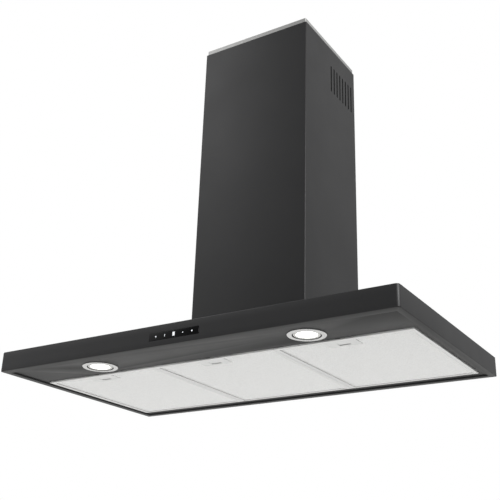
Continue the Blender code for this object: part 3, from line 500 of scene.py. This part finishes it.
def fold_canopy(sizes):
    """A box of folded sheet, its rim turned in underneath and hemmed up round the opening."""
    low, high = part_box("canopy_shell")
    glass_low, glass_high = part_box("control_glass")
    motor_low, motor_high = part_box("motor_box")
    bm = bmesh.new()
    box(bm, low, high)
    under = facing(bm, (0, 0, -1))[0]
    bmesh.ops.inset_individual(bm, faces=[under], thickness=sizes.rim_side, depth=0)
    front = [v for v in under.verts if v.co.y < low.y / 2]
    bmesh.ops.translate(bm, verts=front, vec=(0, sizes.rim_front - sizes.rim_side, 0))
    opening = under.edges[:]
    bmesh.ops.delete(bm, geom=[under], context="FACES_ONLY")
    lip = bmesh.ops.extrude_edge_only(bm, edges=opening)
    bmesh.ops.translate(bm, verts=corners_of(lip["geom"]), vec=(0, 0, sizes.hem))
    bmesh.ops.recalc_face_normals(bm, faces=bm.faces)

    def at_front_corner(edge):
        """Whether an edge is an upright corner between the front and a side."""
        a, b = (v.co for v in edge.verts)
        return abs(abs(a.x) - high.x) < 1e-6 and abs(a.z - b.z) > sizes.hem * 2 and a.y < low.y / 2

    round_edges(bm, [e for e in bm.edges if at_front_corner(e)], sizes.corner, 6)
    bm.normal_update()
    round_edges(bm, folds(bm, 60), sizes.fold, 3)
    window = (Vector((glass_low.x - GLASS_ROOM, low.y, glass_low.z - GLASS_ROOM)),
              Vector((glass_high.x + GLASS_ROOM, low.y, glass_high.z + GLASS_ROOM)))
    pierce(bm, facing(bm, (0, -1, 0)), [window])
    air = (Vector((motor_low.x + AIR_FLANGE, motor_low.y + AIR_FLANGE, high.z)),
           Vector((motor_high.x - AIR_FLANGE, AIR_REAR, high.z)))
    pierce(bm, facing(bm, (0, 0, 1)), [air])
    bmesh.ops.solidify(bm, geom=bm.faces[:], thickness=sizes.sheet)
    piece("canopy_casing", bm, "hood", "black_steel", ["canopy_shell"], "coated_steel")


def press_tray(sizes):
    """The recessed underside panel and the two rails over the filter seams."""
    softened("light_panel", "filter_tray", "hood", "black_steel", "coated_steel", sizes.softening)
    for side in SIDES:
        softened(f"bay_rail_{side}", f"tray_rail_{side}", "hood", "black_steel", "coated_steel",
                 sizes.softening)


def frame_filters(sizes):
    """Each filter's channel frame with its latch housing and rear lugs."""
    for name in FILTERS:
        softened(f"cassette_{name}", f"filter_frame_{name}", f"filter_{name}", "filter_frame",
                 "brushed_stainless", 0.0005)


def stretch_meshes(sizes):
    """Each filter's pad: a sheet of diamonds on both faces, sunk between their strands."""
    for name in FILTERS:
        low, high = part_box(f"filter_mesh_{name}")
        latch_low, latch_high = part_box(f"filter_latch_{name}")
        middle = (low + high) / 2
        width, depth = high.x - low.x, high.y - low.y
        count = int(max(width / sizes.mesh_long, depth / sizes.mesh_short) * 2 + 4)
        bm = bmesh.new()
        bmesh.ops.create_grid(bm, x_segments=count, y_segments=count, size=count / 2)
        turn = Matrix.Rotation(math.pi / 4, 4, "Z")
        squeeze = Matrix.Diagonal((sizes.mesh_long / math.sqrt(2), sizes.mesh_short / math.sqrt(2), 1, 1))
        place = Matrix.Translation((middle.x, middle.y, low.z))
        bmesh.ops.transform(bm, matrix=place @ squeeze @ turn, verts=bm.verts)
        for point, way in ((low, (-1, 0, 0)), (low, (0, -1, 0)), (high, (1, 0, 0)), (high, (0, 1, 0))):
            geom = bm.verts[:] + bm.edges[:] + bm.faces[:]
            bmesh.ops.bisect_plane(bm, geom=geom, dist=1e-6, plane_co=point, plane_no=way, clear_outer=True)
        centre = (latch_low.x + latch_high.x) / 2
        bay_low = Vector((centre - LATCH_BAY_HALF, low.y - 0.01, low.z))
        bay_high = Vector((centre + LATCH_BAY_HALF, latch_high.y + LATCH_BAY_BEHIND, low.z))
        reach = Vector((sizes.mesh_long, sizes.mesh_short, 0)) / 2
        near = []
        for face in bm.faces:
            spot = face.calc_center_median()
            if bay_low.x - reach.x < spot.x < bay_high.x + reach.x and spot.y < bay_high.y + reach.y:
                near.append(face)
        pierce(bm, near, [(bay_low, bay_high)])
        whole = sizes.mesh_long * sizes.mesh_short / 2
        swept = bmesh.ops.extrude_face_region(bm, geom=bm.faces[:], use_keep_orig=True)
        bmesh.ops.translate(bm, verts=corners_of(swept["geom"]), vec=(0, 0, high.z - low.z))
        bmesh.ops.recalc_face_normals(bm, faces=bm.faces)
        diamonds = [f for f in bm.faces if abs(f.normal.z) > FLAT and f.calc_area() > whole * 0.9]
        bmesh.ops.inset_individual(bm, faces=diamonds, thickness=sizes.strand, depth=-sizes.strand_depth)
        # The sunk diamonds take the inner layers' finish, darkened by painted shade.
        for face in diamonds:
            face.material_index = 1
        piece(f"mesh_pad_{name}", bm, f"filter_{name}", "filter_mesh", [f"filter_mesh_{name}"],
              "expanded_aluminium", "shaded_inner_mesh", turn_out=False)


def press_latches(sizes):
    """The sprung slides that lock the filters, with the tips of their tongues painted black as painted shade.
    """
    for name in FILTERS:
        item = softened(f"latch_slide_{name}", f"filter_latch_{name}", f"latch_{name}", "filter_frame",
                        "brushed_stainless", sizes.softening)
        item.data.materials.append(finish("black_abs"))
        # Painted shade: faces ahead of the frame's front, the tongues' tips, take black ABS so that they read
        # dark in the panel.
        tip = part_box(f"filter_frame_{name}")[0].y
        corners = item.data.vertices
        for face in item.data.polygons:
            if min(corners[i].co.y for i in face.vertices) < tip:
                face.material_index = 1


def fit_lamps(sizes):
    """Each lamp's pressed bezel, its lens with a lit middle and a frosted rim, and the module above."""
    for side in SIDES:
        low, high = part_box(f"lamp_bezel_{side}")
        lens_low, lens_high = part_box(f"lamp_lens_{side}")
        x, y = (low.x + high.x) / 2, (low.y + high.y) / 2
        outer = (high.x - low.x) / 2
        lens = (lens_high.x - lens_low.x) / 2
        under, flange = low.z, low.z + 0.0020
        bore, seat = lens + 0.0016, lens - 0.0025
        ring = [(outer, flange), (outer, under + 0.0011), (outer - 0.0005, under + 0.0005),
                (outer - 0.0014, under + 0.0001), (outer - 0.0024, under), (bore + 0.0040, under + 0.0005),
                (bore + 0.0032, under + 0.0003), (bore + 0.0014, under + 0.0002),
                (bore + 0.0005, under + 0.0005), (bore, under + 0.0012), (bore, flange + 0.0008),
                (seat, flange + 0.0012), (seat, high.z), (NECK_RADIUS, high.z), (NECK_RADIUS, flange),
                (outer, flange)]
        bm = bmesh.new()
        turned(bm, ring, (x, y, 0), steps=96)
        # Painted shade: the pressed bezel's bore faces take black ABS to darken the gap round the lens.
        for face in bm.faces:
            middle = face.calc_center_median()
            in_bore = (middle.xy - Vector((x, y))).length < bore + 0.0003
            if in_bore and middle.z > under + 0.0006:
                face.material_index = 1
        piece(f"bezel_{side}", bm, "hood", "lamp_bezel", [f"lamp_bezel_{side}"], "satin_chrome", "black_abs")
        under = lens_low.z
        dome = [(0, under + 0.0002), (LIT_RADIUS * 0.5, under + 0.0003), (LIT_RADIUS * 0.85, under + 0.0006),
                (LIT_RADIUS, under + 0.0011), (LIT_RADIUS + 0.0007, under + 0.0007),
                (lens - 0.0008, under + 0.0003), (lens, under + 0.0009), (lens, lens_high.z),
                (0, lens_high.z)]
        bm = bmesh.new()
        turned(bm, dome, (x, y, 0), steps=96)
        for face in bm.faces:
            radius = (face.calc_center_median().xy - Vector((x, y))).length
            face.material_index = 0 if radius < LIT_RADIUS else 1
        piece(f"lens_{side}", bm, "hood", "lamp_lens", [f"lamp_lens_{side}"], "opal_lens", "frosted_rim")
        softened(f"light_module_{side}", f"lamp_module_{side}", "hood", "alloy", "cast_aluminium", 0.0003, 60)
    softened("driver_case", "lamp_driver", "hood", "grey_plastic", "grey_nylon", 0.0008, 60)


def mark(bm, shape, x, z, front, size):
    """One raised mark on the control glass: a circle of few or many sides, turned and stretched sideways."""
    sides, turn, stretch = shape
    place = Matrix.Translation((x, front, z)) @ Matrix.Diagonal((stretch, 1, 1, 1))
    place = place @ Matrix.Rotation(math.pi / 2, 4, "X") @ Matrix.Rotation(turn, 4, "Z")
    disc = bmesh.ops.create_circle(bm, segments=sides, radius=size, cap_ends=True, matrix=place)
    face = disc["verts"][0].link_faces[0]
    swept = bmesh.ops.extrude_face_region(bm, geom=[face], use_keep_orig=True)
    bmesh.ops.translate(bm, verts=corners_of(swept["geom"]), vec=(0, MARK_RAISE, 0))


def fit_controls(sizes):
    """The flush black glass, its five lit marks, and the holder and board behind it."""
    low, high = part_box("control_glass")
    recess = 0.00006
    bm = bmesh.new()
    box(bm, low + Vector((0, recess, 0)), high)
    bm.normal_update()
    round_edges(bm, folds(bm), 0.0005, 3)
    piece("touch_glass", bm, "hood", "black_glass", ["control_glass"], "control_glass_black")
    middle, z = (low.x + high.x) / 2, (low.z + high.z) / 2
    diamond, disc = (4, 0, 1.0), (20, 0, 1.0)
    triangle, square = (3, math.pi / 2, 1.0), (4, math.pi / 4, 0.66)
    bm = bmesh.new()
    mark(bm, diamond, middle - 2 * MARK_SPACING, z - 0.0002, low.y, 0.0017)
    mark(bm, disc, middle - MARK_SPACING, z + 0.0013, low.y, 0.0009)
    mark(bm, triangle, middle - MARK_SPACING, z - 0.0013, low.y, 0.0015)
    mark(bm, square, middle, z, low.y, 0.0052)
    mark(bm, triangle, middle + MARK_SPACING, z - 0.0002, low.y, 0.0016)
    mark(bm, disc, middle + 2 * MARK_SPACING, z, low.y, 0.0016)
    piece("touch_marks", bm, "hood", "lamp_lens", [], "lit_mark")
    softened("glass_holder", "control_holder", "hood", "black_plastic", "black_abs", sizes.softening)
    board = frame["nodes"]["control_board"].data
    board.materials.clear()
    board.materials.append(finish("solder_mask"))


def bend_channel(sizes, node, holes=(), hem=0.0, back=0.014, sheet=0.001):
    """A three-sided chimney duct with short returns behind its sides, and any slots through the sides."""
    low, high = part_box(node)
    bm = bmesh.new()
    box(bm, low, high)
    ends = facing(bm, (0, 0, 1)) + facing(bm, (0, 0, -1)) + facing(bm, (0, 1, 0))
    bmesh.ops.delete(bm, geom=ends, context="FACES_ONLY")
    rear = [e for e in bm.edges if all(v.co.y > high.y - 1e-6 for v in e.verts) and len(e.link_faces) == 1]
    for edge in rear:
        side = 1 if edge.verts[0].co.x > 0 else -1
        turn = bmesh.ops.extrude_edge_only(bm, edges=[edge])
        bmesh.ops.translate(bm, verts=corners_of(turn["geom"]), vec=(-side * back, 0, 0))
    loose = [e for e in bm.edges if not e.link_faces]
    bmesh.ops.delete(bm, geom=loose, context="EDGES")
    bmesh.ops.recalc_face_normals(bm, faces=bm.faces)
    round_edges(bm, folds(bm, 60), sizes.chimney_corner, 4)
    if holes:
        for way in (-1, 1):
            slots = [(Vector((way * high.x, a, c)), Vector((way * high.x, b, d))) for a, b, c, d in holes]
            pierce(bm, facing(bm, (way, 0, 0)), slots)
        ends = [v for v in bm.verts if in_slots(v.co, holes)]
        bmesh.ops.bevel(bm, geom=ends, offset=sizes.vent * 0.45, offset_type="OFFSET", segments=3,
                        profile=0.5, affect="VERTICES", material=-1, clamp_overlap=True)
    if hem:
        geom = bm.verts[:] + bm.edges[:] + bm.faces[:]
        bmesh.ops.bisect_plane(bm, geom=geom, dist=1e-7, plane_co=(0, 0, high.z - hem), plane_no=(0, 0, 1))
        for face in bm.faces:
            if face.calc_center_median().z > high.z - hem:
                face.material_index = 1
    bm.normal_update()
    bmesh.ops.solidify(bm, geom=bm.faces[:], thickness=sheet)
    return bm


def in_slots(point, holes):
    """Whether a point is a corner of a slot."""
    near = 1e-5
    return any(min(abs(point.y - a), abs(point.y - b)) < near
               and min(abs(point.z - c), abs(point.z - d)) < near for a, b, c, d in holes)


def bend_chimney(sizes):
    """The fixed cover with its vent slots, the extension inside it, and the wall bracket."""
    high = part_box("chimney_cover")[1]
    vents = []
    for i in range(VENTS):
        y = VENT_FIRST - i * VENT_PITCH
        vents.append((y - sizes.vent / 2, y + sizes.vent / 2, high.z - VENT_BOTTOM, high.z - VENT_TOP))
    bm = bend_channel(sizes, "chimney_cover", vents)
    piece("cover_duct", bm, "hood", "black_steel", ["chimney_cover"], "coated_steel")
    bm = bend_channel(sizes, "chimney_extension", hem=sizes.bare_hem, back=0.010)
    piece("extension_duct", bm, "extension", "black_steel", ["chimney_extension"],
          "coated_steel", "bare_steel")
    softened("wall_bracket", "chimney_bracket", "hood", "zinc_steel", "zinc_sheet", sizes.softening)


def fold_motor_box(sizes):
    """The galvanised box over the blower and the four bolts through its flanges."""
    softened("blower_box", "motor_box", "hood", "zinc_steel", "zinc_sheet", 0.0005)
    for i in range(1, 5):
        softened(f"flange_bolt_{i}", f"box_bolt_{i}", "hood", "zinc_steel", "plated_fastener", 0.0002)


def mould_blower(sizes):
    """The scroll halves, the forward-curved wheel, and the motor on its bracket."""
    for side in SIDES:
        softened(f"scroll_half_{side}", f"scroll_{side}", "hood", "black_plastic", "black_abs", 0.0004, 60)
    low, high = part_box("fan_wheel")
    x, y, z = (low + high) / 2
    radius, half = (high.y - low.y) / 2, (high.x - low.x) / 2
    inner = radius - 0.0115
    rim, edge = 0.004, radius - 0.0006
    hub, shaft = 0.012, 0.0043
    bm = bmesh.new()
    for start_x, end_x in ((-half, -half + rim), (half - rim, half)):
        hoop = [(inner, start_x), (radius, start_x), (radius, end_x), (inner, end_x), (inner, start_x)]
        turned(bm, hoop, (x, y, z), "X", 80)
    plate = low.x + half + 0.013 - x
    web = [(shaft, plate), (edge, plate), (edge, plate + 0.002), (hub, plate + 0.002),
           (hub * 0.9, plate + 0.016), (shaft, plate + 0.016), (shaft, plate)]
    turned(bm, web, (x, y, z), "X", 80)
    bmesh.ops.recalc_face_normals(bm, faces=bm.faces)
    first = bm.verts.new((x - half + 0.001, y, z + inner + 0.0006))
    bmesh.ops.spin(bm, geom=[first], cent=(0, y + 0.0068, z + inner + 0.0038), axis=(1, 0, 0),
                   angle=math.radians(-118), steps=5, use_merge=False, use_duplicate=False)
    chain, grown = {first}, {first}
    while grown:
        grown = {e.other_vert(v) for v in grown for e in v.link_edges} - chain
        chain |= grown
    edges = list({e for v in chain for e in v.link_edges})
    swept = bmesh.ops.extrude_edge_only(bm, edges=edges)
    bmesh.ops.translate(bm, verts=corners_of(swept["geom"]), vec=(2 * half - 0.002, 0, 0))
    blade = [item for item in swept["geom"] if isinstance(item, bmesh.types.BMFace)]
    bmesh.ops.recalc_face_normals(bm, faces=blade)
    bmesh.ops.solidify(bm, geom=blade, thickness=0.0009)
    faces = set(blade)
    grown = set(blade)
    while grown:
        grown = {f for g in grown for e in g.edges for f in e.link_faces} - faces
        faces |= grown
    geom = list(faces) + list({e for f in faces for e in f.edges}) + list({v for f in faces for v in f.verts})
    turns = sizes.blades
    bmesh.ops.spin(bm, geom=geom, cent=(0, y, z), axis=(1, 0, 0), angle=2 * math.pi * (turns - 1) / turns,
                   steps=turns - 1, use_duplicate=True, use_merge=False)
    piece("blower_wheel", bm, "wheel", "grey_plastic", ["fan_wheel"], "grey_nylon")
    softened("fan_motor", "motor", "hood", "alloy", "cast_aluminium", 0.0005, 60)
    softened("motor_spider", "motor_bracket", "hood", "zinc_steel", "zinc_sheet", 0.0003, 60)
    softened("run_capacitor", "capacitor", "hood", "grey_plastic", "grey_nylon", 0.0008, 60)


def fit_damper(sizes):
    """The duct collar and its two flaps on their axle."""
    softened("outlet_collar", "duct_collar", "hood", "black_plastic", "black_abs", 0.0004, 60)
    softened("flap_axle", "damper_axle", "hood", "zinc_steel", "plated_fastener", 0.0003, 60)
    for way in ("rear", "front"):
        softened(f"flap_leaf_{way}", f"damper_flap_{way}", f"flap_{way}", "alloy", "rolled_aluminium",
                 0.0002, 60)


def wire_terminals(sizes):
    """The mains terminal box with its lid, strip, gland and screws."""
    softened("junction_box", "terminal_box", "hood", "black_plastic", "black_abs", 0.0005, 60)
    softened("junction_lid", "terminal_lid", "hood", "black_plastic", "black_abs", 0.0005, 60)
    softened("junction_strip", "terminal_strip", "hood", "grey_plastic", "grey_nylon", 0.0005, 60)
    softened("lead_gland", "cable_gland", "hood", "black_plastic", "black_abs", 0.0004, 60)
    for i in (1, 2):
        softened(f"junction_screw_{i}", f"lid_screw_{i}", "hood", "zinc_steel", "plated_fastener", 0.0002)


def dress_stage():
    """A pale floor, white studio surroundings, soft lights and the camera."""
    scene = bpy.context.scene
    scene.view_settings.view_transform = "Standard"
    bm = bmesh.new()
    place = Matrix.Translation((0, 0, FLOOR_HEIGHT))
    bmesh.ops.create_grid(bm, x_segments=1, y_segments=1, size=30, matrix=place)
    mesh = bpy.data.meshes.new("floor")
    bm.to_mesh(mesh)
    bm.free()
    floor = bpy.data.objects.new("floor", mesh)
    scene.collection.objects.link(floor)
    paint = start("Pale studio floor", linear("#EFEFED"), 0.85)[0]
    mesh.materials.append(paint)

    world = bpy.data.worlds.new("Studio")
    world.use_nodes = True
    tree = world.node_tree
    tree.nodes.clear()
    # A tent of light: bright to the left, weaker in front, and brighter again to the right and overhead.
    place = add(tree, "ShaderNodeTexCoord").outputs["Generated"]
    parts = add(tree, "ShaderNodeSeparateXYZ", None, {"Vector": place}).outputs
    right = spread(tree, parts["X"], 0.42, 1.10, 0.22, 0.5)
    left = spread(tree, parts["X"], 0.85, 0.0, -0.8, -0.4)
    height = spread(tree, parts["Z"], 1.0, 1.75, 0.3, 0.9)
    strength = add(tree, "ShaderNodeMath", None, {0: right, 1: left}, operation="ADD").outputs[0]
    strength = add(tree, "ShaderNodeMath", None, {0: strength, 1: height}, operation="MULTIPLY").outputs[0]
    soft = add(tree, "ShaderNodeBackground", {"Color": (1, 1, 1, 1)}, {"Strength": strength})
    # The camera itself sees plain white.
    plain = add(tree, "ShaderNodeBackground", {"Color": (1, 1, 1, 1), "Strength": 1.0})
    seen = add(tree, "ShaderNodeLightPath").outputs["Is Camera Ray"]
    mix = add(tree, "ShaderNodeMixShader", None, {0: seen, 1: soft.outputs[0], 2: plain.outputs[0]})
    add(tree, "ShaderNodeOutputWorld", None, {"Surface": mix.outputs[0]})
    scene.world = world

    def softbox(name, place, target, size, power, shines=True):
        """A rectangular soft light; one that doesn't shine is only seen as a reflection."""
        lamp = bpy.data.lights.new(name, "AREA")
        lamp.shape = "RECTANGLE"
        lamp.size, lamp.size_y = size
        lamp.energy = power
        item = bpy.data.objects.new(name, lamp)
        scene.collection.objects.link(item)
        item.location = place
        item.rotation_euler = (Vector(target) - Vector(place)).to_track_quat("-Z", "Y").to_euler()
        item.visible_camera = False
        item.visible_diffuse = shines

    softbox("key", (-2.2, -2.2, 2.4), (0, -0.2, 0.3), (1.6, 1.4), 24)
    softbox("edge", (2.7, -1.4, 0.75), (0.4, -0.4, -0.25), (1.3, 1.3), 150, shines=False)

    lens = bpy.data.cameras.new("camera")
    lens.sensor_width = 36
    lens.lens = 62.766
    lens.shift_x, lens.shift_y = -0.0494, -0.0284
    camera = bpy.data.objects.new("camera", lens)
    scene.collection.objects.link(camera)
    heading, tilt, roll = (math.radians(a) for a in (31.122, 23.551, 1.111))
    camera.matrix_world = (Matrix.Translation((0.9591, -1.7338, -0.7266)) @ Matrix.Rotation(heading, 4, "Z")
                           @ Matrix.Rotation(math.pi / 2 + tilt, 4, "X") @ Matrix.Rotation(roll, 4, "Z"))
    scene.camera = camera


# Operators.

class HOOD_OT_canopy(bpy.types.Operator):
    """Fold the canopy's casing"""
    bl_idname = "hood.canopy"
    bl_label = "Canopy"
    bl_options = {"REGISTER", "UNDO"}

    def execute(self, context):
        fold_canopy(context.scene.hood_sizes)
        return {"FINISHED"}


class HOOD_OT_tray(bpy.types.Operator):
    """Press the underside panel and the filter rails"""
    bl_idname = "hood.tray"
    bl_label = "Tray"
    bl_options = {"REGISTER", "UNDO"}

    def execute(self, context):
        press_tray(context.scene.hood_sizes)
        return {"FINISHED"}


class HOOD_OT_filters(bpy.types.Operator):
    """Make the three filters' frames"""
    bl_idname = "hood.filters"
    bl_label = "Filter Frames"
    bl_options = {"REGISTER", "UNDO"}

    def execute(self, context):
        frame_filters(context.scene.hood_sizes)
        return {"FINISHED"}


class HOOD_OT_meshes(bpy.types.Operator):
    """Stretch the three filters' meshes"""
    bl_idname = "hood.meshes"
    bl_label = "Filter Meshes"
    bl_options = {"REGISTER", "UNDO"}

    def execute(self, context):
        stretch_meshes(context.scene.hood_sizes)
        return {"FINISHED"}


class HOOD_OT_latches(bpy.types.Operator):
    """Press the three filters' latches"""
    bl_idname = "hood.latches"
    bl_label = "Latches"
    bl_options = {"REGISTER", "UNDO"}

    def execute(self, context):
        press_latches(context.scene.hood_sizes)
        return {"FINISHED"}


class HOOD_OT_lamps(bpy.types.Operator):
    """Make the lamps, their modules and their driver"""
    bl_idname = "hood.lamps"
    bl_label = "Lamps"
    bl_options = {"REGISTER", "UNDO"}

    def execute(self, context):
        fit_lamps(context.scene.hood_sizes)
        return {"FINISHED"}


class HOOD_OT_controls(bpy.types.Operator):
    """Make the touch glass and its marks"""
    bl_idname = "hood.controls"
    bl_label = "Controls"
    bl_options = {"REGISTER", "UNDO"}

    def execute(self, context):
        fit_controls(context.scene.hood_sizes)
        return {"FINISHED"}


class HOOD_OT_chimney(bpy.types.Operator):
    """Bend the chimney's cover and extension"""
    bl_idname = "hood.chimney"
    bl_label = "Chimney"
    bl_options = {"REGISTER", "UNDO"}

    def execute(self, context):
        bend_chimney(context.scene.hood_sizes)
        return {"FINISHED"}


class HOOD_OT_motor_box(bpy.types.Operator):
    """Fold the motor box and its bolts"""
    bl_idname = "hood.motor_box"
    bl_label = "Motor Box"
    bl_options = {"REGISTER", "UNDO"}

    def execute(self, context):
        fold_motor_box(context.scene.hood_sizes)
        return {"FINISHED"}


class HOOD_OT_blower(bpy.types.Operator):
    """Make the scroll, the wheel and the motor"""
    bl_idname = "hood.blower"
    bl_label = "Blower"
    bl_options = {"REGISTER", "UNDO"}

    def execute(self, context):
        mould_blower(context.scene.hood_sizes)
        return {"FINISHED"}


class HOOD_OT_damper(bpy.types.Operator):
    """Make the duct collar and its flaps"""
    bl_idname = "hood.damper"
    bl_label = "Damper"
    bl_options = {"REGISTER", "UNDO"}

    def execute(self, context):
        fit_damper(context.scene.hood_sizes)
        return {"FINISHED"}


class HOOD_OT_terminals(bpy.types.Operator):
    """Make the mains terminal box"""
    bl_idname = "hood.terminals"
    bl_label = "Terminals"
    bl_options = {"REGISTER", "UNDO"}

    def execute(self, context):
        wire_terminals(context.scene.hood_sizes)
        return {"FINISHED"}


class HOOD_OT_stage(bpy.types.Operator):
    """Make the floor, the lights and the camera"""
    bl_idname = "hood.stage"
    bl_label = "Stage"
    bl_options = {"REGISTER", "UNDO"}

    def execute(self, context):
        dress_stage()
        return {"FINISHED"}


OPERATORS = [
    HOOD_OT_stage, HOOD_OT_canopy, HOOD_OT_tray, HOOD_OT_filters, HOOD_OT_meshes, HOOD_OT_latches,
    HOOD_OT_lamps, HOOD_OT_controls, HOOD_OT_chimney, HOOD_OT_motor_box, HOOD_OT_blower, HOOD_OT_damper,
    HOOD_OT_terminals,
]


class HOOD_PT_panel(bpy.types.Panel):
    """Lists the hood's settings and the operators that make it"""
    bl_label = "Range Hood"
    bl_idname = "HOOD_PT_panel"
    bl_space_type = "VIEW_3D"
    bl_region_type = "UI"
    bl_category = "Range Hood"

    def draw(self, context):
        layout = self.layout
        for group in (context.scene.hood_sizes, context.scene.hood_finishes):
            column = layout.column()
            for key in group.bl_rna.properties.keys():
                if key not in {"rna_type", "name"}:
                    column.prop(group, key)
        for operator in OPERATORS:
            layout.operator(operator.bl_idname)


CLASSES = [HoodSizes, HoodFinishes, *OPERATORS, HOOD_PT_panel]


def register():
    """Add the settings, the operators and the panel."""
    for item in CLASSES:
        bpy.utils.register_class(item)
    bpy.types.Scene.hood_sizes = PointerProperty(type=HoodSizes)
    bpy.types.Scene.hood_finishes = PointerProperty(type=HoodFinishes)


def unregister():
    """Take them away again."""
    del bpy.types.Scene.hood_finishes
    del bpy.types.Scene.hood_sizes
    for item in reversed(CLASSES):
        bpy.utils.unregister_class(item)


def main():
    """Make every piece and the stage."""
    register()
    bpy.ops.hood.stage()
    bpy.ops.hood.canopy()
    bpy.ops.hood.tray()
    bpy.ops.hood.filters()
    bpy.ops.hood.meshes()
    bpy.ops.hood.latches()
    bpy.ops.hood.lamps()
    bpy.ops.hood.controls()
    bpy.ops.hood.chimney()
    bpy.ops.hood.motor_box()
    bpy.ops.hood.blower()
    bpy.ops.hood.damper()
    bpy.ops.hood.terminals()


if __name__ == "__main__":
    main()
